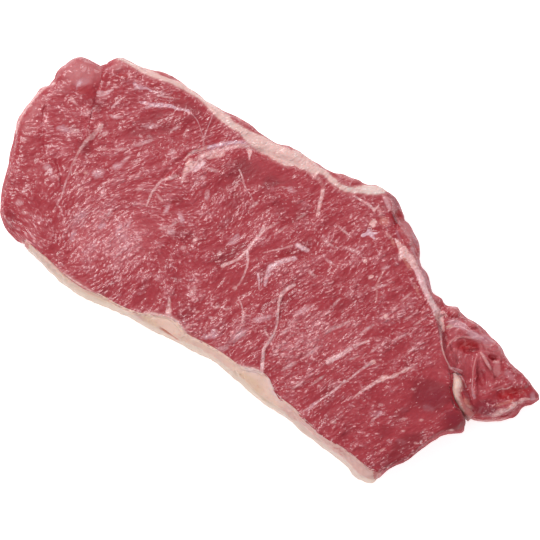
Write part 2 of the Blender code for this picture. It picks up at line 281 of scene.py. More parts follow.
print("the smooth step at a quarter is", ease(0.25))

# %% [markdown]
# ## Small corrections of the outline
#
# The smoothed solid follows the photo's outline to within a few pixels. The last of it was found
# by laying a render over the photo. Where the edge is short or too full, a soft oval shoves the
# meat over, by a millimetre or so at most places and a little more at the corners.

# %% Shove the edge over where it is off
# Each is (x, y, half length, half width, turn, pixels right, pixels down)
SHOVES = (
    (60, 76, 16, 12, 50, -2.2, -1.6), (77, 58, 14, 9, 0, 0.0, -2.0), (121, 58, 10, 8, 0, 0.0, -2.0),
    (505, 360, 36, 12, -49, 1.7, -1.4), (537, 396, 7, 10, 0, 1.2, 0.0), (3, 192, 8, 26, 0, -1.0, 0.0),
    (38, 262, 42, 9, -38, -0.8, 1.0), (459, 309, 9, 7, 0, 1.0, -0.8), (402, 212, 18, 9, -60, 1.0, -0.5),
    (386, 474, 20, 8, 36, -1.6, -1.5), (110, 312, 30, 9, -27, 0.6, -0.6), (480, 421, 16, 6, 0, 0.0, 1.2),
    (37, 105, 22, 8, 50, 1.1, 1.1), (439, 299, 9, 7, -50, 1.6, -1.4), (174, 75, 12, 6, -25, -0.6, 1.8),
    (227, 112, 16, 7, -28, -0.5, 1.2), (258, 398, 24, 9, -40, -1.2, 1.6),
    (315, 427, 26, 6, -39, -1.8, 2.2), (108, 63, 8, 6, 0, -3.2, -1.8), (40, 266, 36, 8, -40, -0.5, 0.5),
    (531, 405, 13, 6, 0, 0.3, -3.2), (403, 221, 4, 4, 0, -1.6, 0.8), (410, 234, 16, 6, -62, 0.9, -0.4),
    (395, 201, 12, 6, -55, 0.9, -0.6), (122, 303, 28, 6, -27, -1.4, 2.7),
    (267, 387, 16, 5, -60, -1.8, 1.0), (338, 447, 30, 6, -39, -1.5, 1.8),
    (524, 380, 14, 6, -45, 1.4, -1.4), (358, 181, 9, 5, 0, 0.0, -1.8), (417, 246, 10, 6, -62, 1.4, -0.6),
    (442, 300, 7, 6, -30, 0.6, -1.6),
)


def shoved(points):
    """The points, moved over a little where the outline of the solid is short of the photo's."""
    pixels = seen_at(points)
    shift = np.zeros((len(points), 3))
    for x, y, half_long, half_wide, turn, right, down in SHOVES:
        share = patches(pixels, ((x, y, half_long, half_wide, turn, 1.0),))
        shift += share[:, None] * np.array(RIGHT * right - AWAY * down / math.sin(ELEVATION))
    return points + shift * MM_PER_PIXEL


at = points_of(lean)
print("the outline moves by up to", np.linalg.norm(shoved(at) - at, axis=1).max().round(2), "mm")

# %% [markdown]
# ## Where the veins run
#
# Marbling is fat that grows in thin sheets between the bundles of muscle. On the cut face each
# sheet shows as a pale line that wanders, splits and fades out. Each line is a route of pixels
# read off the photo, with its half width at both ends. Along a route every point of the meat
# near it gets its offset from the line, divided by the line's half width. The length of that
# offset is 1 at the line's edge. An offset stays exact when the renderer blends it between two
# points of the mesh, so a line can be thinner than the mesh is fine and still come out whole.

# %% The veins, read off the photo
# Each is (half width at its start and at its end, how clear it is at its start and at its end,
# how lilac it is, route)
VEINS = (
    (2.2, 0.8, 1.0, 0.4, 0.2, ((101, 126), (98, 130), (92, 137), (85, 143), (80, 150), (76, 157),
     (72, 165))),
    (0.8, 0.9, 0.6, 0.6, 0.4, ((72, 165), (70, 172), (66.5, 180), (63.5, 189), (61, 197), (57, 204))),
    (1.0, 2.0, 0.8, 1.0, 0.9, ((140, 102), (146, 103), (153, 105), (160, 105))),
    (2.0, 1.1, 1.0, 0.9, 0.9, ((160, 105), (170, 106), (178, 109), (188, 110.5))),
    (0.9, 0.4, 0.7, 0.5, 0.6, ((146, 108), (153, 106), (160, 106))),
    (0.45, 0.4, 0.6, 0.5, 0.4, ((190, 112), (197, 120), (201, 130), (203.5, 137))),
    (0.4, 0.5, 0.6, 0.6, 0.4, ((214, 112), (210, 122), (206, 132), (203.5, 141), (203, 146))),
    (1.2, 1.8, 0.9, 1.0, 1.0, ((250, 143), (244, 142), (237, 142), (230, 142.8), (218, 145),
     (208, 147.5))),
    (3.4, 1.8, 1.0, 1.0, 0.1, ((263, 151), (256, 147.5), (249, 146))),
    (1.8, 2.0, 1.0, 1.0, 0.2, ((249, 146), (238, 146), (230, 147.5), (218, 150.5), (208, 154),
     (200, 158))),
    (2.6, 1.6, 0.9, 0.6, 0.0, ((222, 154), (215, 156), (208, 158))),
    (1.8, 0.8, 0.9, 0.7, 0.1, ((208, 147), (200, 150), (193, 152), (188, 156), (184, 160))),
    (1.6, 2.4, 0.9, 0.9, 0.2, ((203, 157), (199, 161), (195, 165), (191, 169))),
    (3.2, 2.4, 1.4, 1.3, 0.0, ((191, 163), (188, 168), (185, 173))),
    (2.4, 1.0, 1.0, 0.7, 0.2, ((185, 173), (183.5, 178), (182, 182))),
    (2.2, 2.6, 1.3, 1.3, 0.5, ((203, 163), (199, 166), (195, 169))),
    (1.4, 0.8, 0.9, 0.7, 0.2, ((176, 176), (168, 179), (161, 181), (156, 187), (152, 192), (149.5, 198),
     (146.5, 206))),
    (0.9, 0.5, 0.7, 0.4, 0.3, ((239.5, 170), (242.5, 178), (245, 187), (250, 194), (254, 203))),
    (2.3, 0.6, 1.2, 0.9, 0.1, ((249.5, 151), (249.5, 155), (249.3, 159.5))),
    (2.6, 1.6, 0.9, 0.2, 0.1, ((309, 171), (314, 175.5), (320, 181), (323, 187))),
    (3.1, 2.7, 1.6, 1.5, 0.0, ((372.6, 223.6), (373.8, 222.4))),
    (1.8, 1.6, 1.3, 1.3, 0.1, ((364.8, 260.9), (365.4, 260.7))),
    (1.9, 1.7, 1.3, 1.3, 0.0, ((370.5, 277), (371.2, 276.7))),
    (1.9, 1.7, 1.3, 1.3, 0.0, ((385.4, 316.3), (386.1, 316))),
    (2.0, 1.7, 1.2, 1.2, 0.0, ((372.6, 362.2), (373.8, 361.6))),
    (2.4, 1.8, 1.3, 1.1, 0.0, ((382, 378.8), (386.5, 377))),
    (1.4, 0.9, 1.4, 1.2, 0.9, ((362.5, 235.5), (366, 234), (369, 230.5))),
    (1.5, 1.0, 1.4, 1.2, 0.9, ((368.8, 230.5), (369.5, 234), (374, 238.5))),
    (1.7, 0.9, 1.4, 1.2, 0.9, ((369, 233), (373, 233.5), (377, 233))),
    (3.4, 1.6, 1.3, 0.9, 0.1, ((403, 249), (401.5, 254), (400, 258.5))),
    (1.7, 1.4, 1.0, 0.8, 0.1, ((323, 190), (321.5, 198), (319, 207), (317, 215))),
    (1.5, 1.1, 1.0, 0.9, 0.2, ((264, 227), (260, 234.5), (255, 240), (250, 247), (246, 251.5),
     (242, 255.5))),
    (1.1, 1.6, 0.9, 1.0, 0.2, ((242, 255.5), (238.5, 258.5), (230.5, 262.5), (222, 266))),
    (1.3, 0.6, 0.8, 0.5, 0.3, ((247.5, 252), (248, 261), (246.5, 268), (243, 277), (240, 283),
     (235, 288.5))),
    (0.6, 0.8, 0.5, 0.7, 0.2, ((263, 253), (272, 250.5), (281, 249), (292, 245.5))),
    (0.5, 0.9, 0.6, 0.9, 0.3, ((238, 297), (241, 304), (243, 312), (242, 322))),
    (1.6, 1.2, 1.4, 1.3, 0.3, ((261.5, 374), (262, 368), (263, 357), (264, 348), (270, 341))),
    (1.0, 0.6, 0.8, 0.6, 0.2, ((265, 331), (268, 336), (271, 340))),
    (1.1, 0.8, 1.3, 1.1, 0.3, ((270, 341), (274, 333), (277, 323), (278, 312))),
    (0.8, 1.6, 1.1, 1.3, 0.2, ((278, 312), (279, 303), (281, 296))),
    (1.8, 1.5, 1.2, 1.2, 0.3, ((281, 296), (285, 290), (294, 285))),
    (1.8, 2.4, 0.9, 1.0, 0.6, ((295, 258.5), (286, 260), (278.5, 262.5), (271, 266.5))),
    (2.6, 1.4, 1.0, 0.9, 0.7, ((271, 266.5), (267.5, 273), (265, 285))),
    (1.2, 0.6, 0.9, 0.7, 0.6, ((258, 274), (259, 281), (259, 289))),
    (2.4, 1.8, 1.0, 1.0, 0.7, ((298, 245.5), (302.5, 248), (308, 250.5))),
    (0.5, 1.2, 0.5, 0.9, 0.4, ((303, 411), (312, 405), (325, 397), (335, 390), (345, 381))),
    (0.7, 1.2, 0.6, 0.9, 0.4, ((345, 383), (356, 373.5), (363.5, 368), (371, 363))),
    (0.6, 2.0, 0.6, 1.0, 0.2, ((352, 399), (362, 391), (370, 386), (378, 381), (383, 378))),
    (1.0, 1.8, 0.9, 0.9, 0.1, ((387, 378), (392, 377), (396.5, 375))),
    (0.8, 2.0, 0.9, 1.0, 0.1, ((398, 373.8), (402.5, 371.8), (406, 369.8))),
    (0.8, 0.4, 0.8, 0.5, 0.2, ((408, 369), (412, 366.5), (417.5, 363))),
    (2.4, 1.6, 1.2, 1.1, 0.4, ((328.5, 361.5), (335, 358), (342, 354.5), (350, 348.5))),
    (1.6, 0.9, 0.9, 0.8, 0.3, ((354.5, 346), (361, 343.5), (369, 341))),
    (0.8, 0.8, 0.5, 0.4, 0.0, ((384, 271), (379, 279.5), (376.5, 287), (377, 295), (375.5, 302))),
    (0.8, 1.4, 0.6, 0.9, 0.3, ((353, 195), (362, 200.5), (370, 206), (374, 210))),
    (1.1, 0.7, 1.0, 0.8, 0.2, ((373, 209), (376, 208.5), (379, 205))),
    (0.9, 4.4, 1.0, 1.2, 0.1, ((169.5, 299), (169, 306), (168.5, 312), (169, 318), (171, 325))),
    (0.8, 4.2, 1.0, 1.6, 0.0, ((395, 239), (398.5, 243.5), (402.5, 249.5), (406, 254))),
    (4.2, 2.8, 1.6, 1.6, 0.1, ((406, 254), (410.5, 259), (415.5, 267.5))),
    (2.8, 2.2, 1.6, 1.5, 0.4, ((415.5, 267.5), (420, 277), (424, 287.5), (429, 298))),
    (2.2, 3.8, 1.5, 1.6, 0.3, ((429, 298), (433.5, 306), (437.5, 313))),
    (3.8, 1.2, 1.6, 1.4, 0.0, ((437.5, 313), (441, 321), (443.5, 330))),
    (1.2, 2.6, 0.8, 1.0, 0.0, ((493, 416.5), (496, 414.5), (499.5, 412))),
    (2.4, 1.2, 1.0, 0.7, 0.1, ((499.5, 412), (503, 410.5), (507, 409.5))),
    (1.0, 2.2, 0.8, 1.0, 0.0, ((505, 411.5), (509, 408), (513, 405.5))),
    (2.0, 0.9, 0.9, 0.6, 0.1, ((514, 404), (518, 402.5), (522, 402.5))),
    (1.2, 0.7, 0.9, 0.6, 0.1, ((520, 400), (525, 398.5), (530, 399))),
    (0.5, 0.6, 0.6, 0.5, 0.1, ((497, 390.5), (502, 389), (507, 388.5), (512, 386))),
    (0.5, 1.3, 0.4, 0.5, 0.9, ((472.3, 380), (472, 387), (473, 392), (474, 397))),
    (0.5, 0.5, 0.6, 0.5, 0.6, ((447, 322), (453, 320.5), (459, 321), (466, 325.5), (472, 331))),
    (0.6, 0.5, 0.7, 0.5, 0.5, ((449, 329), (455, 326.5), (462, 327), (469, 331), (478, 334.5))),
    (1.2, 0.7, 0.8, 0.7, 0.6, ((474, 337), (478, 336), (483, 338))),
    (0.6, 1.2, 0.7, 0.8, 0.3, ((450, 368), (455, 371), (459.5, 375.5))),
    (0.5, 0.6, 0.7, 0.6, 0.5, ((450.5, 367.5), (456, 368.5), (462, 371))),
    (0.8, 0.6, 0.7, 0.6, 0.3, ((461, 376), (464, 381), (466.5, 387))),
    (1.0, 0.8, 0.7, 0.6, 0.0, ((466, 417), (474, 420), (486, 421), (498, 420.5), (506, 419))),
    (1.2, 2.4, 0.7, 1.0, 0.1, ((15.5, 133), (18, 124), (23, 112.5), (30, 102.5))),
    (2.4, 1.2, 1.0, 0.8, 0.1, ((30, 102.5), (38, 93.5), (46, 86.5), (54, 83.5))),
    (0.8, 0.7, 0.9, 0.8, 0.1, ((440, 328), (441, 336), (442, 347), (445, 357), (450, 368))),
    (1.2, 0.7, 1.0, 0.8, 0.0, ((440, 313.5), (443, 311.5), (447, 316))),
    (1.6, 0.7, 1.0, 0.8, 0.9, ((135, 84), (139, 88), (146, 88), (152, 91))),
    (1.0, 0.6, 0.9, 0.6, 0.4, ((112, 107.5), (118, 101.5), (125, 96.5))),
    (2.5, 0.8, 1.0, 0.8, 0.5, ((101.5, 94), (106, 93), (113, 89.5))),
)
ROUTE_STEP = 3.0


def spline(route, step=ROUTE_STEP):
    """Pixels about a step apart on a smooth curve through the given ones."""
    given = np.array(route, float)
    padded = np.vstack([2 * given[0] - given[1], given, 2 * given[-1] - given[-2]])
    curve = []
    for a, b, c, d in zip(padded, padded[1:], padded[2:], padded[3:]):
        for t in np.linspace(0.0, 1.0, max(2, round(np.linalg.norm(c - b) / step)), endpoint=False):
            curve.append(0.5 * (2 * b + (c - a) * t + (2 * a - 5 * b + 4 * c - d) * t**2
                                + (3 * b - a - 3 * c + d) * t**3))
    return np.vstack([curve, given[-1]])


def offsets(pixels, line):
    """Each pixel's offset from a line, and how far along the line it is, from 0 to 1."""
    start, step = line[:-1], np.diff(line, axis=0)
    t = ((pixels[:, None] - start) * step).sum(2) / (step**2).sum(1)
    t = np.clip(t, 0.0, 1.0)
    away = pixels[:, None] - (start + t[:, :, None] * step)
    nearest = (away**2).sum(2).argmin(1)
    rows = np.arange(len(pixels))
    return away[rows, nearest], (nearest + t[rows, nearest]) / len(step)


def beside(pixels, route, reach):
    """Which pixels lie within reach of a route, their offsets from it and how far along it they are."""
    line = spline(route)
    rows = np.flatnonzero(((pixels > line.min(0) - reach) & (pixels < line.max(0) + reach)).all(1))
    return rows, *offsets(pixels[rows], line)


print(len(VEINS), "stretches of vein")

# %% [markdown]
# ## Flecks of fat
#
# Between the veins the cut also shows small chips of fat: the ends of sheets that the knife
# crossed at a slant. They are short ovals, stored in the same way as the veins.

# %% The chips of fat, read off the photo
# Each is (x, y, half length, half width, turn upwards to the right, how lilac it is)
CHIPS = (
    (98, 173.5, 6.0, 4.2, 12, 0.7), (117.5, 166, 6.0, 2.8, 24, 0.7), (105, 134, 3.0, 2.2, 35, 0.3),
    (116, 117, 5.6, 1.8, -6, 0.5), (47, 167, 3.4, 3.6, 60, 0.6), (19, 203, 3.8, 3.0, 20, 0.4),
    (25, 213, 2.2, 1.6, 0, 0.2), (24, 191, 2.2, 1.6, 20, 0.3), (64, 129, 6.5, 3.0, -12, 0.8),
    (74, 131, 4.5, 2.4, -4, 0.4), (172, 152, 3.2, 2.4, 0, 0.5), (143, 143, 10.0, 1.6, 17, 0.5),
    (151, 126, 7.0, 2.2, 4, 0.6), (202.5, 178, 2.6, 1.8, 10, 0.4), (211, 336, 7.5, 2.4, 10, 0.9),
    (214, 331, 3.0, 1.6, 0, 0.7), (238, 336, 10.5, 3.4, 38, 0.7), (262, 319, 9.0, 2.6, 12, 0.7),
    (222, 349, 6.0, 2.4, 16, 0.5), (285, 331, 6.0, 1.4, 40, 0.5), (303, 310, 9.0, 2.4, 32, 0.6),
    (196, 183, 2.2, 1.4, 70, 0.4), (385, 268, 4.0, 1.6, 20, 0.6), (381, 286, 7.5, 1.3, 12, 0.4),
    (166, 78, 1.2, 1.2, 0, 0.0), (404, 419, 2.8, 1.3, 10, 0.2), (421, 420, 1.8, 1.2, 20, 0.0),
    (416, 443, 1.8, 1.2, 0, 0.2), (389, 441, 1.6, 2.4, 70, 0.6), (403, 431, 1.6, 1.0, 0, 0.1),
    (451, 430, 2.6, 1.1, 5, 0.0), (381, 405, 1.4, 2.6, 80, 0.2), (382, 450, 2.8, 1.2, 25, 0.1),
    (187, 328, 2.6, 1.0, 20, 0.1), (217, 307, 3.6, 1.4, 25, 0.2), (227, 309, 3.4, 1.2, 5, 0.2),
    (197, 312, 2.2, 1.2, 10, 0.0), (211, 318, 1.6, 2.4, 60, 0.3), (86, 173, 2.0, 1.2, -20, 0.0),
    (330, 262, 5.0, 1.4, -32, 0.4), (312, 274, 4.0, 1.6, -40, 0.3), (72, 98, 1.8, 1.2, -40, 0.1),
    (74, 102, 4.5, 1.3, -42, 0.3), (79, 84, 5.0, 1.8, 60, 0.9), (183, 248, 2.6, 2.0, 20, 0.3),
    (234, 240, 7.0, 3.0, 42, 0.7), (291, 190, 4.0, 2.4, -30, 0.6), (302, 216, 5.4, 1.0, 30, 0.2),
    (272, 226, 6.0, 1.3, 30, 0.2), (281, 230, 7.0, 1.3, 36, 0.3), (121, 149.5, 5.0, 1.5, 5, 0.4),
    (89, 111.5, 7.0, 1.2, 20, 0.3), (158, 92, 6.0, 1.0, -5, 0.5), (167, 97, 9.0, 0.9, -8, 0.4),
    (176, 128, 4.0, 1.4, 20, 0.4), (213, 170, 6.0, 1.6, -12, 0.3), (207, 195, 4.6, 2.4, 75, 0.5),
    (236, 186, 3.2, 1.2, 40, 0.2), (171, 232, 4.0, 2.6, 20, 0.5), (254, 205, 5.0, 1.4, 35, 0.3),
    (345, 232, 8.0, 1.2, -40, 0.3), (328, 243, 6.0, 1.2, -35, 0.3), (352, 250, 7.0, 1.6, -20, 0.4),
    (366, 330, 8.0, 1.5, 35, 0.4), (399, 338, 7.0, 1.2, 30, 0.3), (343, 324.5, 9.0, 1.3, 28, 0.3),
    (330, 330, 6.0, 1.6, 35, 0.4), (312, 352, 8.0, 1.8, 35, 0.5), (290, 366, 7.0, 1.8, 30, 0.4),
    (298, 385, 6.0, 1.2, 35, 0.3), (318, 380, 7.0, 1.2, 35, 0.3), (408, 318, 4.0, 1.0, 30, 0.2),
    (419, 322, 5.0, 0.9, 32, 0.2), (412, 350, 5.0, 1.0, 32, 0.2), (336, 302.5, 4.4, 1.3, 45, 0.4),
    (406, 297, 6.0, 1.2, 40, 0.2), (375, 348.5, 6.5, 1.1, 42, 0.3), (354, 358, 5.0, 1.0, 20, 0.3),
    (235, 288.5, 2.0, 1.8, 30, 0.1), (193, 291, 5.0, 2.4, 60, 0.3), (195, 240, 3.0, 1.6, 60, 0.1),
    (220, 254, 2.4, 1.6, 20, 0.1), (76, 173.5, 2.0, 1.5, 10, 0.1), (127, 158, 5.0, 1.4, 35, 0.4),
    (160, 198.5, 4.0, 1.4, -50, 0.2), (167, 209, 5.0, 2.2, 60, 0.6), (181, 218, 6.0, 2.2, -70, 0.7),
    (163.5, 227.5, 4.5, 1.8, 10, 0.4), (139, 189, 3.4, 1.6, 10, 0.3), (102.5, 191.5, 4.0, 1.2, 75, 0.4),
    (81, 189, 2.2, 1.5, 0, 0.1), (110, 212, 4.0, 1.6, 60, 0.6), (73, 235, 5.0, 2.2, 70, 0.8),
    (119, 229, 5.0, 2.0, 70, 0.8), (102, 226, 4.0, 2.4, 30, 0.8), (103.5, 149, 3.0, 1.4, 10, 0.2),
    (312.5, 405.5, 5.5, 1.6, 38, 0.9), (333, 422, 2.6, 1.8, 20, 0.2), (375, 418, 6.0, 1.1, 43, 0.5),
    (380, 414, 2.6, 1.6, 45, 0.9), (138, 87, 3.6, 2.4, 20, 0.9), (171, 226, 6.0, 1.1, 36, 0.3),
    (129, 223, 4.0, 1.4, 70, 0.7),
)
CHIP_CLEARNESS = 0.62
# How many pixels from a line its offsets are worked out at all
LINE_REACH = 14.0
# How many pixels from a line an offset starts to grow a third part, so that a face between two
# lines doesn't blend their offsets into a false line. The faces underneath are larger.
TOP_SLACK = 2.5
UNDER_SLACK = 9.0
FAR = 12.0


def nearest_marks(pixels, under):
    """Each point's offset from the nearest vein or chip in half widths, and how clear and lilac that is."""
    mark = np.tile((0.0, 0.0, FAR), (len(pixels), 1))
    size = np.full(len(pixels), FAR)
    clear = np.zeros(len(pixels))
    lilac = np.zeros(len(pixels))
    slack = np.where(under, UNDER_SLACK, TOP_SLACK)

    def keep(rows, away, half, clearness, tint):
        """Gives a mark to those points near it that have none nearer."""
        beyond = np.maximum(np.linalg.norm(away, axis=1) - slack[rows], 0.0)
        found = np.column_stack([away / half[:, None], beyond / half])
        length = np.linalg.norm(found, axis=1)
        closer = length < size[rows]
        mark[rows[closer]] = found[closer]
        size[rows[closer]] = length[closer]
        clear[rows[closer]] = clearness[closer]
        lilac[rows[closer]] = tint

    for first, last, clear_first, clear_last, tint, route in VEINS:
        rows, away, along = beside(pixels, route, LINE_REACH)
        half = first + (last - first) * along
        keep(rows, away, half, clear_first + (clear_last - clear_first) * along, tint)
    for x, y, half_long, half_wide, turn, tint in CHIPS:
        reach = LINE_REACH + half_long
        rows = np.flatnonzero((np.abs(pixels - (x, y)) < reach).all(1))
        along, across = turned(pixels[rows], x, y, turn)
        away = np.column_stack([along * half_wide / half_long, across])
        keep(rows, away, np.full(len(rows), half_wide), np.full(len(rows), CHIP_CLEARNESS), tint)
    return mark, size, clear, lilac


print(len(CHIPS), "chips of fat")

# %% [markdown]
# ## The seam of fat and the membranes
#
# The bone side is edged by a seam of fat, thin by the round end and thickest at the middle where
# two muscles meet. The layer of fat has a soft rim too. These are bands: a route with a half
# width at each of its points. Each point of the meat stores how many millimetres it lies inside
# the nearest band, so the material can draw a sharp but natural edge.

# %% The bands of fat, read off the photo
# Each stop is (x, y, half width), in pixels
SEAM = (
    (114, 57, 0.6), (122, 59.5, 1.2), (130, 63.5, 1.7), (140, 69, 2.2), (150, 73, 3.0), (160, 77, 2.4),
    (170, 80.5, 2.5), (180, 84.5, 2.8), (190, 90, 3.0), (200, 96, 3.1), (207, 101.5, 3.2),
    (213, 108.5, 3.5), (220, 114.5, 3.9), (226, 119, 4.2), (233, 125.5, 3.4), (241, 130, 3.4),
    (250, 137, 5.4), (258, 142, 7.6), (268, 147.5, 7.4), (278, 153, 8.0), (288, 157.5, 8.8),
    (296, 158, 7.2), (303, 162, 7.0), (310, 166, 6.4), (316, 170, 4.6), (323, 171.5, 2.4),
    (330, 178, 2.7), (338, 185, 2.4), (346, 189, 2.6), (354, 190, 3.1), (362, 189, 4.2),
    (371, 189.5, 4.8), (378, 190, 4.6), (383, 191, 2.6),
)
CAP_EDGE = (
    (22, 243, 0.5), (36, 254, 0.8), (55, 267.5, 0.9), (80, 284.5, 0.6), (110, 302, 0.5),
    (135, 314.5, 0.6), (150, 313, 1.1), (163, 316.5, 1.4), (175, 320, 1.2), (190, 337, 1.0),
    (215, 351.5, 1.2), (236, 365.5, 1.6), (254, 369.5, 1.8), (259.5, 374, 1.7), (267, 386.5, 1.1),
    (277, 402, 0.5), (284, 407, 0.0),
)
FAT_BANDS = (SEAM, CAP_EDGE)
BAND_REACH = 6.0

# Red shreds of meat that lie on the outer side of the seam, as soft ovals like those above
SHREDS = (
    (166, 75.5, 11.0, 1.6, -27, 0.5), (245, 123, 12.0, 2.4, -32, 0.8), (346, 178, 14.0, 3.4, -25, 0.9),
    (457, 313, 7.0, 5.0, -30, 1.0), (476, 326, 6.0, 4.0, -30, 1.0), (300, 147, 10.0, 1.2, -30, 0.5),
)

# Where the seam is whiter, as its fat is thick
WHITER_FAT = (
    (371, 190, 22, 7, 0, 0.8), (350, 188, 10, 4, -30, 0.7), (125, 62, 12, 4, -25, 0.5),
    (232, 124, 14, 4, -38, 0.3),
)

# Where the fat is loose and lumpy, so that its edge breaks up
LOOSE_FAT = (
    (420, 285, 52, 14, -62, 1.0), (462, 395, 32, 14, -60, 1.0), (500, 410, 36, 14, 20, 1.0),
    (30, 100, 34, 10, 45, 0.5), (205, 160, 24, 14, 20, 0.6),
)


def inside_bands(pixels):
    """How many millimetres each point lies inside the nearest band of fat, negative outside."""
    inside = np.full(len(pixels), -BAND_REACH)
    for band in FAT_BANDS:
        stops = np.array(band)
        lengths = np.linalg.norm(np.diff(stops[:, :2], axis=0), axis=1)
        stops_along = np.concatenate([[0.0], np.cumsum(lengths)]) / lengths.sum()
        rows, away, along = beside(pixels, stops[:, :2], BAND_REACH / MM_PER_PIXEL)
        half = np.interp(along, stops_along, stops[:, 2])
        depth = (half - np.linalg.norm(away, axis=1)) * MM_PER_PIXEL
        inside[rows] = np.maximum(inside[rows], depth)
    return inside


print("the seam has", len(SEAM), "stops, the rim of the fat", len(CAP_EDGE))

# %% [markdown]
# ## Light and dark meat
#
# No two hand's breadths of a steak have the same red. The meat is darker in places, partly its own
# deeper red and partly painted shade on slopes and in hollows, and lighter in others, partly a
# painted sheen. It is pinker where light comes through thin flaps, and busy with painted glints
# where the cut grain stands up wet. Three sets of soft ovals say where: tone is darker or lighter,
# glint is how lively the meat is and so how many painted glints and how much painted sheen it
# shows, and raw is the clear bright red of freshly torn hollows.

# %% Tone, glints and clear red as soft ovals
# Each is (x, y, half length, half width, turn, strength), in pixels
# Lower tone is partly painted shade, on slopes that turn from the lamps and in hollows; higher tone on the
# cut face is partly painted sheen
TONES = (
    (432, 396, 26, 18, 0, -1.15), (455, 420, 15, 12, 0, -0.8), (425, 375, 25, 16, 20, -0.3),
    (400, 300, 45, 40, 0, 0.1), (300, 205, 34, 26, -20, -0.3), (180, 100, 34, 10, -30, -0.35),
    (250, 174, 36, 16, -25, -0.6), (84, 148, 9, 11, 30, -0.8), (97, 104, 7, 18, 5, -0.3),
    (110, 86, 20, 6, 15, -0.2), (40, 120, 14, 34, -15, 0.5), (90, 195, 90, 80, 0, 0.25),
    (80, 74, 24, 14, 0, 0.9), (125, 68, 20, 10, -25, 0.6), (112, 240, 50, 34, 0, 0.7),
    (150, 190, 40, 26, 20, 0.15), (320, 345, 46, 30, 30, 0.50), (400, 325, 36, 40, 0, 0.10),
    (155, 130, 38, 20, 0, -0.55), (230, 250, 32, 32, 0, -0.12), (112, 235, 40, 34, 0, 0.15),
    (404, 225, 8, 26, -30, 0.1), (425, 288, 6, 14, -25, 0.1), (475, 345, 46, 44, 0, 1.0),
    (176, 202, 9, 4, 5, -0.9), (500, 380, 36, 24, 0, 0.3), (405, 450, 34, 14, 35, -1.0),
    (372, 440, 26, 22, 35, -0.1), (500, 392, 18, 7, 20, -0.3), (485, 406, 17, 8, 0, -1.0),
    (470, 350, 14, 10, 0, -0.2), (240, 300, 16, 12, 0, 0.1), (12, 215, 10, 24, 10, -0.3),
    (290, 250, 22, 7, 15, -0.4), (225, 288, 16, 14, 0, 0.1),
)
# Glint ovals make the meat more or less lively, which sets how many painted glints and how much painted
# sheen it shows
GLINTS = (
    (92, 215, 30, 22, 30, 0.35), (118, 248, 38, 28, 30, 0.45), (200, 172, 22, 14, 0, 0.30),
    (150, 190, 44, 22, 25, 0.12), (295, 340, 44, 30, 30, 0.45), (310, 330, 30, 20, 30, 0.1),
    (300, 270, 30, 14, 20, 0.25), (170, 90, 22, 7, -8, 0.20), (232, 134, 12, 6, 0, 0.30),
    (250, 325, 34, 14, 25, 0.25), (385, 330, 50, 34, 28, 0.10), (380, 250, 26, 20, 20, 0.10),
    (190, 330, 30, 10, -30, 0.15), (190, 104, 30, 6, -32, -0.50), (266, 172, 40, 18, -20, -0.8),
    (230, 285, 26, 22, 20, -0.30), (155, 130, 40, 20, 0, -0.3), (225, 178, 18, 12, 0, -0.3),
    (230, 250, 30, 30, 0, -0.2), (398, 312, 20, 9, 10, 0.25), (32, 160, 14, 40, 0, -0.20),
    (194, 290, 10, 12, 0, 0.30), (432, 396, 30, 22, 0, -0.75), (455, 421, 16, 12, 0, -0.85),
    (468, 346, 16, 9, 0, -0.6), (514, 393, 20, 8, 0, -0.5), (85, 150, 12, 12, 0, -0.50),
    (88, 88, 12, 9, 0, -0.45), (84, 72, 26, 18, 0, -0.60), (28, 130, 14, 36, -15, -0.20),
    (270, 247, 22, 6, 20, -0.35), (300, 205, 20, 16, 0, -0.15), (340, 262, 16, 12, 0, -0.10),
    (470, 370, 44, 50, 0, -0.55), (405, 225, 14, 34, -30, -0.60), (310, 240, 18, 8, 15, -0.15),
    (205, 345, 12, 6, 0, -0.20), (20, 215, 18, 24, 0, -0.20), (405, 434, 40, 24, 35, -0.45),
    (168, 78, 60, 4, -28, -0.40),
)
RAW = (
    (468, 345, 14, 7, 5, 1.0), (515, 391, 17, 5, 14, 1.0), (457, 314, 7, 4, -30, 0.7),
    (404, 218, 4, 6, -20, 0.8), (493, 357, 6, 3, -20, 0.8), (165, 93, 30, 8, -28, 0.4),
    (450, 421, 12, 3, 5, 0.4), (125, 76, 22, 4, 5, 0.6), (345, 178, 12, 3, -25, 0.5),
    (176, 202, 9, 4, 5, 0.6), (290, 254, 18, 4, 15, 0.5), (86, 92, 11, 5, 0, 0.4),
    (500, 380, 20, 20, 0, 0.2), (245, 287, 24, 16, 20, 0.15), (398, 282, 10, 20, -20, 0.15),
)
print(len(TONES), "ovals of tone,", len(GLINTS), "of glints and", len(RAW), "of clear red")
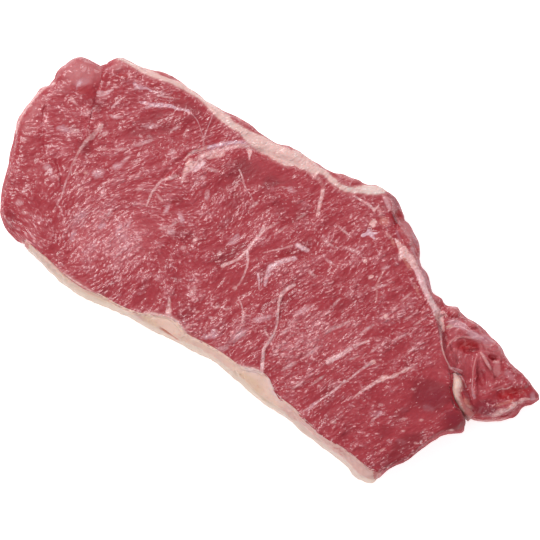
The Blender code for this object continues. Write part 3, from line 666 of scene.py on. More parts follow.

# %% [markdown]
# ## Creases and folds
#
# Where meat folds over itself there is a crease in shade, and the edge of each fold catches the
# light. Both are lines like the veins, carved and raised in the mesh, and also painted: a crease
# gets painted shade in dark red, a fold's edge a painted highlight in pale pink. A few broad folds
# without a tint fill hollows of the solid that are deeper than the photo shows.

# %% Creases and folds, read off the photo
# Each is (half width in pixels, depth in mm, how much painted shade it gets, route in pixels)
CREASES = (
    (1.1, 0.30, 0.5, ((275, 260), (286, 256), (298, 254.5), (306, 252.5))),
    (1.4, 0.30, 0.3, ((369, 229), (374, 230), (381, 229.5))),
    (0.9, 0.25, 1.0, ((390.5, 211), (392, 216), (394.5, 221), (396.5, 228))),
    (2.2, 0.50, 0.2, ((397, 210), (399, 214), (400, 218))),
    (0.6, 0.40, 0.6, ((449, 366), (450.5, 372), (451.5, 380), (451.5, 386))),
    (1.5, 0.40, 1.0, ((451.5, 384), (452, 390), (454, 397), (457.5, 404), (462.5, 410.5))),
    (0.9, 0.14, 0.7, ((439, 412), (445, 410), (450, 409), (457, 409.5), (463, 411))),
    (1.5, 0.45, 0.4, ((463, 351), (472, 351), (480, 350))),
    (0.9, 0.45, 1.0, ((488.5, 355), (491, 358.5), (494.5, 360))),
    (1.2, 0.35, 0.4, ((485, 365), (489, 371), (491, 376))),
    (0.9, 0.25, 0.7, ((448, 316.5), (453, 317.5), (461, 317))),
    (0.9, 0.35, 0.4, ((466, 327), (472, 328.5), (478, 329))),
    (1.2, 0.25, 0.3, ((281, 330), (290, 324), (298, 321))),
    (1.0, 0.25, 0.3, ((310, 320), (316, 315), (320, 311))),
    (2.4, 0.35, 0.2, ((484, 404), (492, 400), (500, 397))),
    (0.9, 0.30, 0.5, ((502, 360), (502.5, 366), (502, 372))),
    (1.0, 0.30, 0.5, ((495, 376), (499, 379), (503, 378))),
    (2.0, 0.30, 0.2, ((478, 366), (481, 376), (484, 386))),
    (0.8, 0.30, 0.6, ((499, 417.5), (504, 416.5), (509, 415))),
)

# Each is (half width in pixels, height in mm, how much painted highlight it gets, route in pixels)
FOLDS = (
    (0.5, 0.16, 0.8, ((476, 357), (474.5, 363), (473, 370), (472.5, 380), (472, 390))),
    (1.5, 0.30, 0.6, ((472, 387), (473, 392), (473.5, 397))),
    (1.1, 0.45, 1.0, ((479.5, 351), (483, 356), (487.5, 363.5), (491.5, 371))),
    (1.0, 0.40, 1.0, ((492.5, 361.5), (496, 362.5), (500, 361.5))),
    (0.7, 0.22, 0.7, ((447, 349), (449, 344), (453, 340), (459, 337.5), (466, 337), (475, 339))),
    (4.0, 0.60, 0.1, ((448, 311), (453, 310), (460, 313))),
    (0.9, 0.20, 0.7, ((449, 306), (455, 306.5), (460, 309), (462, 312))),
    (2.6, 0.70, 0.3, ((467, 322.5), (473, 322), (478, 326))),
    (1.6, 0.40, 0.4, ((494, 416), (498, 412.5), (504, 411))),
    (1.5, 0.40, 0.4, ((506, 410), (511, 407), (516, 403.5))),
    (1.2, 0.35, 0.4, ((519, 401.5), (524, 399.5), (530, 399))),
    (3.5, 0.45, 0.1, ((452, 350), (458, 356), (463, 366))),
    (3.0, 0.35, 0.3, ((483, 346), (488, 344), (493, 347))),
    (6.0, 0.30, 0.1, ((66, 70), (76, 67), (88, 70))),
    (3.1, 1.25, 0.0, ((105, 66.4), (102, 77), (99, 87.4), (95.5, 99), (92.4, 110), (90, 122), (88, 137),
     (86, 150))),
    (2.6, 0.60, 0.0, ((215, 152.4), (199, 156.5), (183, 163.3), (168, 177), (157.2, 190.4), (150, 208))),
    (1.6, 0.30, 0.0, ((43, 100), (42.5, 120), (43, 140), (46, 158), (55, 166), (60, 178), (60, 190))),
    (5.0, 0.45, 0.0, ((502, 392), (512, 391.5), (522, 393))),
    (4.0, 0.25, 0.0, ((460, 346), (468, 346), (476, 347))),
    (3.0, 0.35, 0.1, ((112, 72), (121, 66), (128, 68))),
    (2.2, 0.18, 0.0, ((249, 144), (238, 144), (226, 145.5), (216, 148.5), (206, 154))),
    (2.0, 0.35, 0.5, ((383, 194), (387, 200), (391, 207), (393.5, 212))),
    (4.0, 0.50, 0.1, ((402, 226), (407, 235), (412, 245))),
    (1.1, 0.30, 0.6, ((376, 206), (380, 211), (382, 217))),
    (1.1, 0.30, 0.6, ((385, 232), (388, 235), (391, 239))),
)
GROOVE_REACH = 9.0


def grooves(pixels, lines):
    """How deep or high each point lies on some lines, in mm, and how strongly it takes their tint."""
    height = np.zeros(len(pixels))
    tinted = np.zeros(len(pixels))
    for half, high, tint, route in lines:
        rows, away, along = beside(pixels, route, GROOVE_REACH)
        near = ease(np.linalg.norm(away, axis=1) / (half * 1.6), 1.3, 0.3)
        near *= ease(6 * along + 0.2) * ease(6 * (1 - along) + 0.2)
        height[rows] = np.maximum(height[rows], high * near)
        tinted[rows] = np.maximum(tinted[rows], tint * near)
    return height, tinted


print(len(CREASES), "creases and", len(FOLDS), "folds")

# %% [markdown]
# ## Washes of colour
#
# The trimmed parts have more colours than the cut face: mauve membranes, rosy flaps that light
# shines through, peach where fat lies under a thin film, and clear red where the meat was torn.
# The shade wash is painted shade, in creases, hollows and under lumps, and three pale mauve
# washes on the cut face are a painted lilac sheen.
# These are painted as soft washes. Each point stores the mean colour of the washes on it and how
# strong they are together. A cloudy noise in the material breaks up their edges later.

# %% Soft washes of colour
def linear(hex_colour):
    """The linear colour of an sRGB hex value."""
    shares = [int(hex_colour[k:k + 2], 16) / 255 for k in (0, 2, 4)]
    return [s / 12.92 if s <= 0.04045 else ((s + 0.055) / 1.055) ** 2.4 for s in shares] + [1.0]


WASH_COLOURS = {
    "mauve": linear("a8616e"), "pale mauve": linear("c08891"), "rose": linear("b96a6e"),
    "peach": linear("c2746a"), "cream": linear("d9afa3"), "clear red": linear("a3161f"),
    "plum": linear("84152a"), "shade": linear("5c0a16"),
}
# For each colour, ovals of (x, y, half length, half width, turn, strength), in pixels
WASHES = {
    "rose": (
        (80, 70, 29, 20, -10, 0.75), (62, 92, 12, 12, 0, 0.4), (120, 65, 12, 6, 30, 0.8),
        (28, 125, 12, 26, -15, 0.5), (40, 104, 16, 8, 45, 0.5), (166, 75, 12, 2.4, -27, 0.7),
        (244, 122, 13, 3.4, -32, 0.9), (346, 177, 16, 4, -25, 0.9), (205, 98, 50, 2, -31, 0.4),
        (404, 232, 10, 4, -50, 0.5), (454, 310, 9, 4.5, -15, 0.7), (473, 321.5, 6, 2, -10, 0.6),
        (499, 354, 14, 5, -60, 0.5), (496.5, 370, 5, 8, 0, 1.0), (500, 387.5, 12, 2, 18, 0.6),
    ),
    "pale mauve": (
        (82, 82, 8, 4, 20, 0.7), (87, 172, 5, 7, 0, 0.2), (52, 175, 5, 9, 10, 0.5),
        (305, 205, 10, 5, -20, 0.4), (300, 285, 18, 10, 30, 0.25), (428, 409, 9, 5, -20, 0.25),
        (400, 441, 10, 6, -20, 0.3), (386, 200, 9, 3, -62, 0.9), (388, 205, 8, 2.5, -65, 0.8),
        (412, 250, 7, 3, -60, 0.7), (419.5, 262, 10, 2.2, -60, 0.6), (457, 324, 12, 5, -15, 1.0),
        (474, 335, 13, 5, -25, 0.9), (511, 376, 12, 6, -45, 0.4), (533, 397, 4, 6, 0, 0.7),
        # These three lie on the cut face and are a painted lilac sheen
        (80, 220, 16, 10, 70, 0.45), (92, 247, 12, 7, 70, 0.4), (123, 242, 18, 10, 65, 0.5),
    ),
    "clear red": (
        (81, 91, 8, 4, 0, 0.5), (128, 76, 20, 3, 0, 0.5), (398.5, 213, 3, 5, 0, 1.0),
        (468, 345.5, 15, 7, 0, 0.85), (513, 393, 22, 7, 12, 0.85), (475, 415, 5, 2.4, 0, 0.8),
    ),
    "mauve": (
        (350, 405, 9, 3, 30, 0.4), (376, 413, 9, 3, 30, 0.5), (415, 240, 12, 2.4, -65, 0.9),
        (398, 235, 8, 2, -65, 0.6), (427, 281, 18, 3, -64, 0.9), (487, 340, 9, 6, -40, 0.8),
    ),
    "plum": (
        (395.5, 201, 11, 2.4, -58, 0.8), (483, 373, 15, 5, -70, 0.4), (487, 408, 14, 9, 10, 0.9),
        (458, 360, 10, 10, 0, 0.3), (432, 398, 22, 14, 0, 0.5), (453, 420, 12, 8, 0, 0.7),
        (448, 411, 12, 3, 8, 0.7),
    ),
    "shade": (
        (395, 219, 7, 2.2, -68, 1.0), (453, 317.5, 9, 1.6, 0, 0.5), (474, 350, 8, 1.8, 5, 0.6),
        (456, 405, 10, 3.2, -55, 1.0),
    ),
    "peach": (
        (384, 221, 8, 6, -30, 0.6), (392, 240, 10, 2.4, -70, 0.5), (406, 262, 14, 2.6, -58, 0.7),
        (417, 290, 16, 2.2, -65, 0.6), (505, 403, 14, 2.5, 15, 0.6), (467, 404, 5, 10, 20, 0.8),
    ),
    "cream": (
        (449, 326.5, 5, 2, 10, 0.8), (460, 386, 4, 10, 0, 0.7),
    ),
}


def washed(pixels):
    """The mean colour of the washes at each pixel, and their strength from 0 to 1."""
    total = np.zeros((len(pixels), 3))
    weight = np.zeros(len(pixels))
    for name, ovals in WASHES.items():
        share = patches(pixels, ovals)
        total += share[:, None] * WASH_COLOURS[name][:3]
        weight += share
    return total / np.maximum(weight, 1e-6)[:, None], np.clip(weight, 0.0, 1.0)


print(sum(map(len, WASHES.values())), "washes in", len(WASHES), "colours")

# %% [markdown]
# ## Get the lean meat ready
#
# The tail and the side lobe are torn, not cut, and have the finest folds, so their faces are cut
# finer first. Then each point learns what it belongs to: the cut face on top, a wall or the
# underside. The walls that face away from the photo are told apart too, as no vein is known there.

# %% What each point of the lean belongs to
# The torn tail and the side lobe: (x, y, half length, half width, turn, strength), in pixels
TRIM = ((478, 372, 60, 60, -40, 1.0), (405, 230, 16, 44, -28, 0.8))
# Only faces that lie at least this much in the ovals of the trim are cut finer
FINER_FROM = 0.3


def cut_finer(piece, where):
    """Cuts the faces of a piece in four where a list says so for all of their points."""
    form = bmesh.new()
    form.from_mesh(piece.data)
    form.verts.ensure_lookup_table()
    chosen = [face for face in form.faces if all(where[corner.index] for corner in face.verts)]
    edges = list({edge for face in chosen for edge in face.edges})
    bmesh.ops.subdivide_edges(form, edges=edges, cuts=1, use_grid_fill=True)
    form.to_mesh(piece.data)
    form.free()
    print(piece.name, "now has", len(piece.data.vertices), "points")


pixels = seen_at(points_of(lean))
cut_finer(lean, (patches(pixels, TRIM) > FINER_FROM) & (normals_of(lean)[:, 2] > 0.0))
at = shoved(points_of(lean))
facing = normals_of(lean)
pixels = seen_at(at)
cut = ease(facing[:, 2], 0.35, 0.75)
under = facing[:, 2] < -0.3
side = ease(np.abs(facing[:, 2]), 0.75, 0.25)
hidden = side * ease(facing @ np.array(BACK), 0.0, -0.12)
trim = np.clip(patches(pixels, TRIM), 0.0, 1.0)
print("share of points on the cut face:", cut.mean().round(2), "and on the walls:", side.mean().round(2))

# %% [markdown]
# ## The grain of the cut
#
# The grain runs up to the right in the photo, flatter at the round end and steeper in the middle.
# So each point gets grain coordinates: its place along the grain, across it and in depth, bent a
# little by slow unevenness, since muscle never runs straight. The place across adds up how far
# the grain has climbed by there, so its lines follow the turn. At a few spots it swirls: each
# point there is turned about the spot first, most at its middle. Ridges and flecks stretched
# along these coordinates then swirl as the real ones do.

# %% Grain coordinates
# How far the grain turns up to the right, in degrees, by how far right it lies: (x in pixels, turn)
GRAIN_TURNS = ((0, 12.0), (140, 16.0), (220, 33.0), (310, 33.0), (370, 27.0), (540, 27.0))
MEAN_TURN = math.radians(26.0)
CLIMB_STEP = 5.0
# Where the grain swirls round further: (x, y, radius in pixels, turn)
SWIRLS = ((104.0, 246.0, 84.0, 34.0), (262.0, 168.0, 62.0, -18.0), (470.0, 366.0, 26.0, 50.0))
GRAIN_BEND = 1.7
GRAIN_BEND_SIZE = 22.0

swirled = pixels.copy()
for x, y, radius, turn in SWIRLS:
    turns = turn * patches(swirled, ((x, y, radius, radius, 0, 1.0),))
    swirled = np.column_stack(turned(swirled, x, y, turns)) + (x, y)
sideways, down = (swirled * MM_PER_PIXEL).T
bend_across = uneven(at, GRAIN_BEND_SIZE) * GRAIN_BEND
bend_along = uneven(at, GRAIN_BEND_SIZE, 7.0) * GRAIN_BEND
columns = np.arange(0.0, IMAGE_SIZE + CLIMB_STEP, CLIMB_STEP)
turns = np.interp(columns, *zip(*GRAIN_TURNS))
climb = np.cumsum(np.tan(np.radians(turns))) * CLIMB_STEP * MM_PER_PIXEL
grain = np.column_stack([
    sideways * math.cos(MEAN_TURN) - down * math.sin(MEAN_TURN) + bend_along,
    down + np.interp(swirled[:, 0], columns, climb) + bend_across,
    at[:, 2],
])
print("the grain climbs", climb[-1].round(), "mm from left to right")

# %% [markdown]
# ## What lies at each point of the lean
#
# Now every table above is looked up for every point. The seam's edge breaks up where its fat is
# loose. How lively the meat is, with many glints or few, comes in clumps about 8 mm long, on top
# of what the glint ovals say.

# %% Look up veins, bands, folds, washes and glints
# Clumps of lively meat, and how coarsely the edge of loose fat breaks up, in millimetres
CLUMP_LONG, CLUMP_WIDE = 8.0, 5.0
CLUMPS = ((1.0, 1.0, 4.0), (0.5, 0.45, 6.0))
RAGGED_RISE, RAGGED_SIZE = 0.7, 2.6
# How much of a band's depth a red shred of meat takes away, in millimetres
SHRED_DEPTH = 2.0
# How lively the meat is of itself, and how much the clumps and the glint ovals change that
LIVELY, LIVELY_BY_CLUMPS, LIVELY_BY_OVALS = 0.34, 0.23, 0.8

mark, nearness, clear, lilac = nearest_marks(pixels, under)
clear *= 1 - hidden
loose = np.clip(patches(pixels, LOOSE_FAT), 0.0, 1.0)
fatty = inside_bands(pixels) - SHRED_DEPTH * np.clip(patches(pixels, SHREDS), 0.0, 1.2)
fatty += loose * RAGGED_RISE * uneven(at, RAGGED_SIZE, 13.0)
seam = ease(fatty, -0.2, 0.3)
creased, crease_shade = grooves(pixels, CREASES)
folded, lit = grooves(pixels, FOLDS)
wash, wash_share = washed(pixels)
raw = np.clip(patches(pixels, RAW), 0.0, 1.0)
clumps = rippled(grain / (CLUMP_LONG, CLUMP_WIDE, CLUMP_WIDE), CLUMPS)
lively = LIVELY + LIVELY_BY_CLUMPS * clumps + LIVELY_BY_OVALS * patches(pixels, GLINTS)
lively = np.clip(lively, 0.0, 1.0)
print("liveliness:", np.percentile(lively, (10, 50, 90)).round(2))

# %% [markdown]
# ## Carve the lean meat
#
# Most of the relief is tenths of a millimetre: slow swells, ridges of the grain that are taller
# where the meat is lively, proud veins and sunk creases. The torn tail and side lobe get lumps
# instead of grain, flatter where they are raw and wet. The walls bulge a little, as cut meat
# does. Nothing sinks into the table.

# %% Raise and sink the surface
# A RISE is a height and a SIZE, LONG or WIDE the size of one swell, all in millimetres. The lumps
# are of two sizes, each (height, size, shift).
SWELL_RISE, SWELL_SIZE = 0.15, 11.0
RIDGE_LONG, RIDGE_WIDE = 2.5, 1.7
DIMPLE_SIZE = 4.2
GRAIN_RISE, LIVELY_RISE = 0.04, 0.08
VEIN_RISE, SEAM_RISE = 0.05, 0.10
LUMPS = ((1.0, 5.0, 9.0), (0.5, 2.3, 11.0))
LUMP_RISE = 0.24
TORN_GRAIN_RISE = 0.05
WALL_SWELL_RISE, WALL_LUMP_RISE = 0.22, 0.25

ridges = uneven(grain / (RIDGE_LONG, RIDGE_WIDE, RIDGE_WIDE), 1.0)
swells = uneven(at, SWELL_SIZE, 3.0)
dimples = uneven(at, DIMPLE_SIZE, 5.0)
lumps = rippled(at, LUMPS)

grain_rise = (GRAIN_RISE + LIVELY_RISE * lively) * (1 - 0.8 * seam) * (1 - trim)
relief = SWELL_RISE * swells + grain_rise * (dimples + ridges)
relief += VEIN_RISE * clear * ease(nearness, 1.4, 0.4) + SEAM_RISE * seam * (1 - trim)
relief += trim * (LUMP_RISE * lumps * (1 - 0.75 * raw) + TORN_GRAIN_RISE * ridges)
relief = cut * (relief - creased + folded) + side * (WALL_SWELL_RISE * swells + WALL_LUMP_RISE * lumps)
shaped = at + facing * relief[:, None]
shaped[:, 2] = np.maximum(shaped[:, 2], 0.0)
move_points(lean, shaped)
print("relief of the lean:", round(relief.min(), 2), "to", round(relief.max(), 2), "mm")

# %% [markdown]
# ## Keep what was found
#
# The material reads fifteen attributes. The cut face is stored without its creases, as both
# decide where the surface is wet, and the creases' painted shade is stored on its own. The skin is
# a mauve film on the outer wall of the bone side.

# %% Store what the lean's material reads
for name, values in {
    "grain": grain, "mark": mark, "clear": clear, "lilac": lilac, "fatty": fatty,
    "white": np.clip(patches(pixels, WHITER_FAT), 0.0, 1.0), "cut": cut * (1 - crease_shade),
    "wash": wash, "wash_share": wash_share, "lively": lively, "tone": patches(pixels, TONES),
    "raw": raw, "crease_shade": crease_shade, "lit": lit, "skin": side * ease(facing[:, 1], 0.0, 0.6),
}.items():
    store(lean, name, values)
print("stored", len(lean.data.attributes), "attributes,",
      sum(len(face.vertices) - 2 for face in lean.data.polygons), "triangles")

# %% [markdown]
# ## Carve and paint the layer of fat
#
# The layer of fat lies against the meat, so its inner wall is moved over the hair's breadth that
# the frame leaves between the two. Its colour goes with its depth: butter yellow where it is
# thick, at two wedges that run in between muscles, and a thin blush of pink where it is lean.
# Next to the meat it is lilac white, at its two thin ends meat shows through, and its outer wall
# is a little more butter yellow, with painted shade that makes it greyer. Each of these is stored
# as a weight for the material.

# %% Shape the fat and store its weights
JOIN_REACH = 0.9
TOP_LIFT = 0.3
# Unevenness of the top and of the outer wall: (height, size, shift)
TOP_RIPPLES = ((0.10, 6.0, 0.0), (0.06, 2.0, 3.0))
WALL_RIPPLE = ((0.25, 9.0, 5.0),)
# Upright wrinkles on the outer wall: their height, their width, and that width over their length
WRINKLE_RISE, WRINKLE_SIZE, WRINKLE_STRETCH = 0.14, 2.6, 0.4
WALL_SINK = 0.30
SLIT_DEPTH = 0.5
# How much more butter yellow the outer wall is
WALL_BUTTER = 0.15
# Each is (half width in pixels, depth in mm, route in pixels)
SLITS = (
    (1.0, 0.5, ((158, 327), (163, 330), (170, 335), (181, 343))),
    (0.6, 0.1, ((60, 273), (70, 280), (80, 287))),
)
# Where each tint lies: ovals of (x, y, half length, half width, turn, strength), in pixels
TINTS = {
    "butter": (
        (150, 321, 16, 5, -28, 0.6), (190, 346, 22, 6, -30, 0.2), (250, 384, 20, 8, -40, 1.0),
        (268, 403, 10, 6, -45, 0.3), (85, 297, 26, 5, -32, 0.5), (105, 303, 16, 5, -27, 0.5),
    ),
    "blush": (
        (40, 260, 26, 6, -38, 0.8), (138, 318, 8, 5, -25, 0.5), (330, 442, 62, 16, -39, 1.0),
        (362, 470, 16, 14, 0, 0.6), (205, 350, 24, 3, -30, 0.3), (285, 414, 14, 8, -40, 0.5),
    ),
    "lilac": (
        (252, 371, 18, 3.5, -15, 0.6), (273, 390, 18, 3.5, -62, 0.6), (170, 316, 9, 5, -50, 0.4),
        (320, 430, 80, 8, -39, 0.2),
    ),
    "blood": ((379, 475, 7, 7, 0, 1.3), (23, 244, 9, 5, -40, 1.0), (342, 448, 16, 9, -39, 0.3)),
}

at = shoved(points_of(fat))
facing = normals_of(fat)
pixels = seen_at(at)
inner = ease(facing[:, 1], 0.0, 0.6)
level = np.hypot(facing[:, 0], facing[:, 1])
flat = facing * (1.0, 1.0, 0.0) / np.maximum(level, 1e-6)[:, None]
cut = ease(facing[:, 2], 0.35, 0.75)
outer = (1 - inner) * ease(np.abs(facing[:, 2]), 0.8, 0.3)
slit = np.zeros(len(at))
for half, deep, route in SLITS:
    away, along = offsets(pixels, spline(route))
    share = ease(np.linalg.norm(away, axis=1) / (half * 1.4), 1.3, 0.3)
    share *= ease(5 * along) * ease(5 * (1 - along))
    slit = np.maximum(slit, share * deep / SLIT_DEPTH)
wrinkles = WRINKLE_RISE * uneven(at * (1.0, 1.0, WRINKLE_STRETCH), WRINKLE_SIZE, 8.0)
relief = cut * (rippled(at, TOP_RIPPLES) - SLIT_DEPTH * slit)
relief += outer * (rippled(at, WALL_RIPPLE) + wrinkles - WALL_SINK)
shaped = at + flat * (inner * JOIN_REACH)[:, None] + facing * relief[:, None]
shaped[:, 2] += TOP_LIFT * ease(at[:, 2], 14.0, 19.0)
shaped[:, 2] = np.maximum(shaped[:, 2], 0.0)
move_points(fat, shaped)
tints = {name: patches(pixels, ovals) for name, ovals in TINTS.items()}
tints["butter"] += WALL_BUTTER * outer
for name, values in tints.items():
    store(fat, name, np.clip(values, 0.0, 1.0))
store(fat, "slit", slit)
store(fat, "outer", outer)
print("relief of the fat:", round(relief.min(), 2), "to", round(relief.max(), 2), "mm")

# %% [markdown]
# ## The fat that fills the cleft by the tail
#
# Where the tail folds back against the slice, a soft lump of fat bulges up between the two. It
# isn't cut flat as the rest is. It is made as its own piece: a closed tube along the cleft, tall
# and narrow, with rounded top and ends, and lumps of its own.

# %% A lump of fat in the cleft
# Each is (x, y, half width in pixels, top in mm)
CLEFT_FAT = (
    (452.4, 371, 2.4, 15.6), (455.0, 377, 5.0, 18.1), (457.2, 383, 6.4, 19.0), (458.6, 390, 7.0, 19.2),
    (461.0, 398, 6.8, 18.8), (464.4, 405, 6.4, 17.8), (468.2, 411, 5.4, 16.2), (472.5, 416, 4.0, 14.0),
)
CLEFT_FLOOR = 2.0
RING_POINTS = 40
CLEFT_LUMPS = ((0.30, 4.5, 21.0), (0.16, 1.8, 23.0))
# Powers below 1 make the ring boxier than an ellipse, which has 1 for both
ROUND_ACROSS, ROUND_UP = 0.75, 0.55
# Where blood stains it and where it is white: (x, y, half length, half width, turn, strength)
STAINS = ((468, 405, 15, 7, -58, 1.3), (464, 393, 9, 4, -65, 1.0), (470, 415, 8, 5, 0, 0.8))
WHITER = ((457, 383, 5, 6, 0, 1.0), (455.5, 392, 2, 9, 0, 0.8))


def spot(x, y, height):
    """The place on the steak, at a height, that the photo shows at a pixel."""
    across, down = (x - IMAGE_SIZE / 2) * MM_PER_PIXEL, (y - IMAGE_SIZE / 2) * MM_PER_PIXEL
    ray = RIGHT * across - UP * down - BACK * DISTANCE
    return EYE + ray * ((height - EYE.z) / ray.z)


def lump(name, stops, floor):
    """A tall narrow closed tube along some stops, with rounded top, bottom and ends."""
    given = np.array(stops)
    line = spline(given[:, :2], 1.5)
    along = np.linspace(0.0, len(given) - 1, len(line))
    half = np.interp(along, np.arange(len(given)), given[:, 2]) * MM_PER_PIXEL
    top = np.interp(along, np.arange(len(given)), given[:, 3])
    centres = np.array([spot(x, y, z) for (x, y), z in zip(line, top)])
    ahead = np.gradient(centres[:, :2], axis=0)
    ahead /= np.linalg.norm(ahead, axis=1)[:, None]
    angles = np.linspace(0.0, 2 * math.pi, RING_POINTS, endpoint=False)
    wide = np.sign(np.sin(angles)) * np.abs(np.sin(angles)) ** ROUND_ACROSS
    tall = np.sign(np.cos(angles)) * np.abs(np.cos(angles)) ** ROUND_UP
    form = bmesh.new()
    rings = []
    for centre, step_ahead, w, t in zip(centres, ahead, half, top):
        rings.append([form.verts.new((centre[0] - step_ahead[1] * w * a, centre[1] + step_ahead[0] * w * a,
                                      (t + floor) / 2 + (t - floor) / 2 * b)) for a, b in zip(wide, tall)])
    for first, second in zip(rings, rings[1:]):
        for k in range(RING_POINTS):
            form.faces.new((first[k], second[k], second[k - 1], first[k - 1]))
    form.faces.new(rings[0][::-1])
    form.faces.new(rings[-1])
    bmesh.ops.recalc_face_normals(form, faces=form.faces)
    bmesh.ops.scale(form, vec=(MM, MM, MM), verts=form.verts)
    mesh = bpy.data.meshes.new(name)
    form.to_mesh(mesh)
    form.free()
    mesh.shade_smooth()
    piece = bpy.data.objects.new(name, mesh)
    bpy.context.scene.collection.objects.link(piece)
    return piece


cleft_fat = lump("cleft_fat", CLEFT_FAT, CLEFT_FLOOR)
at = points_of(cleft_fat)
facing = normals_of(cleft_fat)
walls = ease(facing[:, 2], 0.5, 0.1)
relief = rippled(at, CLEFT_LUMPS)
move_points(cleft_fat, at + facing * relief[:, None])
pixels = seen_at(at)
store(cleft_fat, "blush", np.clip(1.0 - patches(pixels, WHITER), 0.0, 1.0))
# The lump's walls take the blood colour too, partly as painted shade of the cleft
store(cleft_fat, "blood", np.clip(patches(pixels, STAINS) + walls, 0.0, 1.0))
# Painted shade where the lump turns down into the cleft
store(cleft_fat, "gap", ease(facing[:, 2], 0.25, -0.15))
print("the cleft's fat has", len(cleft_fat.data.vertices), "points")

# %% [markdown]
# ## Building a material
#
# A material is a small network of nodes. One function adds a node, sets its properties, fills its
# inputs with values or with another node's output, and gives back its own output. Layers of
# colour are laid on top of each other like glazes: each covers the one below by its own share.

# %% One function for nodes, one for layers
def new_material(name):
    """A new empty material, and the function that adds a node to it."""
    made = bpy.data.materials.new(name)
    made.use_nodes = True
    made.node_tree.nodes.clear()
    return made, partial(add_node, made.node_tree)


def add_node(tree, kind, inputs=None, output=0, **settings):
    """Adds a node with its properties, fills its inputs with values or links, and returns an output."""
    made = tree.nodes.new("ShaderNode" + kind)
    for name, value in settings.items():
        setattr(made, name, value)
    for socket, value in (inputs or {}).items():
        if isinstance(value, bpy.types.NodeSocket):
            tree.links.new(value, made.inputs[socket])
        else:
            made.inputs[socket].default_value = value
    return made.outputs[output] if made.outputs else None


def glazed(node, colour, layers):
    """A colour with layers over it, each given as its share, the most it covers and its own colour."""
    for share, most, layer in layers:
        cover = node("Math", {0: share, 1: most}, operation="MULTIPLY")
        colour = node("Mix", {"Factor": cover, "A": colour, "B": layer}, output="Result", data_type="RGBA")
    return colour


beef, node = new_material("raw_beef")
print("an empty material:", beef.name)

# %% [markdown]
# ## Raw beef, freshly cut
#
# Raw muscle is a wet, slightly cloudy gel: light goes in, is dyed red by myoglobin and comes out
# a millimetre away, and a film of juice on top reflects the lamps. So the material is a
# Principled shader with some subsurface scattering, an index of refraction near water's 1.38 and
# a thin coat. Its cut face shows the ends of fibre bundles, about 1 mm wide and 2 mm long on a
# slant cut, which catch the light as pale wet glints between darker gaps. Noise stretched to those
# sizes along the grain paints that light into the colour: a painted pink sheen, pale dashes that
# are partly painted sheen, painted glints, and gaps of deeper red that are partly painted shade.
# How many there are follows the stored liveliness.

# %% The grain of the lean meat
DEEP_RED = linear("871826")
MUSCLE_RED = linear("a12b37")
PINK_RED = linear("b55058")
CLEAR_RED = linear("a01a22")
# Painted light: a pink sheen, pale dashes that are partly sheen, and bright glints
SHEEN_PINK = linear("b76c76")
DASH_PINK = linear("bd747b")
GLINT_PINK = linear("e6a6aa")

# Noise of several sizes: name: (length along the grain, width across it in mm, finer layers)
GRAIN_SIZES = {
    "glint": (1.05, 0.75, 0.6), "dash": (1.8, 1.05, 0.8), "swell": (2.5, 1.8, 1.0),
    "coarse": (5.0, 3.4, 2.5), "mottle": (14.0, 9.0, 3.0),
}
BUNDLE_LONG, BUNDLE_WIDE = 2.2, 1.5

grain_at = node("Attribute", output="Vector", attribute_name="grain")
wander = node("TexNoise", {"Vector": grain_at, "Scale": 0.25, "Detail": 1.0}, output="Color")
bent = node("VectorMath", {0: wander, 1: (1.3, 1.3, 1.3), 2: grain_at}, operation="MULTIPLY_ADD")
grains = {}
for name, (long, wide, layers) in GRAIN_SIZES.items():
    stretched = node("Mapping", {"Vector": bent, "Scale": (1 / long, 1 / wide, 1 / wide)})
    settings = {"Vector": stretched, "Scale": 1.0, "Detail": layers, "Roughness": 0.55}
    grains[name] = node("TexNoise", settings)
bundle_at = node("Mapping", {"Vector": bent, "Scale": (1 / BUNDLE_LONG, 1 / BUNDLE_WIDE, 1 / BUNDLE_WIDE)})
bundle = node("TexVoronoi", {"Vector": bundle_at, "Scale": 1.0, "Smoothness": 0.4}, feature="SMOOTH_F1")
stored = {name: node("Attribute", output="Fac", attribute_name=name) for name in (
    "lively", "tone", "raw", "clear", "lilac", "fatty", "white", "wash_share", "crease_shade", "lit", "skin",
    "cut")}

# The stored tone and a broad mottle make the meat darker or lighter
mottled = node("Math", {0: grains["mottle"], 1: 0.8, 2: 0.1}, operation="MULTIPLY_ADD")
tone = node("Math", {0: stored["tone"], 1: 0.32, 2: mottled}, operation="MULTIPLY_ADD")
# Lively meat has more painted sheen, more pale dashes, fewer gaps and more painted glints
sheen_amount = node("Math", {0: stored["lively"], 1: 0.5, 2: grains["coarse"]}, operation="MULTIPLY_ADD")
busy = node("Math", {0: stored["lively"], 1: 0.36, 2: grains["dash"]}, operation="MULTIPLY_ADD")
bright = node("Math", {0: busy, 1: 0.8, 2: grains["glint"]}, operation="MULTIPLY_ADD")
# How much of each layer shows: a smooth step of a value between two limits
shows = {name: node("MapRange", {"Value": value, "From Min": low, "From Max": high},
                    interpolation_type="SMOOTHSTEP")
         for name, value, low, high in (
             ("muscle", tone, 0.25, 0.5), ("pink", tone, 0.5, 0.95), ("sheen", sheen_amount, 0.6, 1.05),
             ("gaps", busy, 0.58, 0.42), ("dashes", busy, 0.64, 0.82), ("glints", bright, 1.13, 1.35))}
body = glazed(node, DEEP_RED, (
    (shows["muscle"], 1.0, MUSCLE_RED),
    (shows["pink"], 1.0, PINK_RED),
    (stored["raw"], 0.8, CLEAR_RED),
    # Painted sheen, pink
    (shows["sheen"], 0.30, SHEEN_PINK),
    # Gaps between the bundles, deeper red and partly painted shade
    (shows["gaps"], 0.27, DEEP_RED),
    # Pale dashes of the grain, partly painted sheen
    (shows["dashes"], 0.38, DASH_PINK),
))
print("the grain is made of", list(grains), "noise")

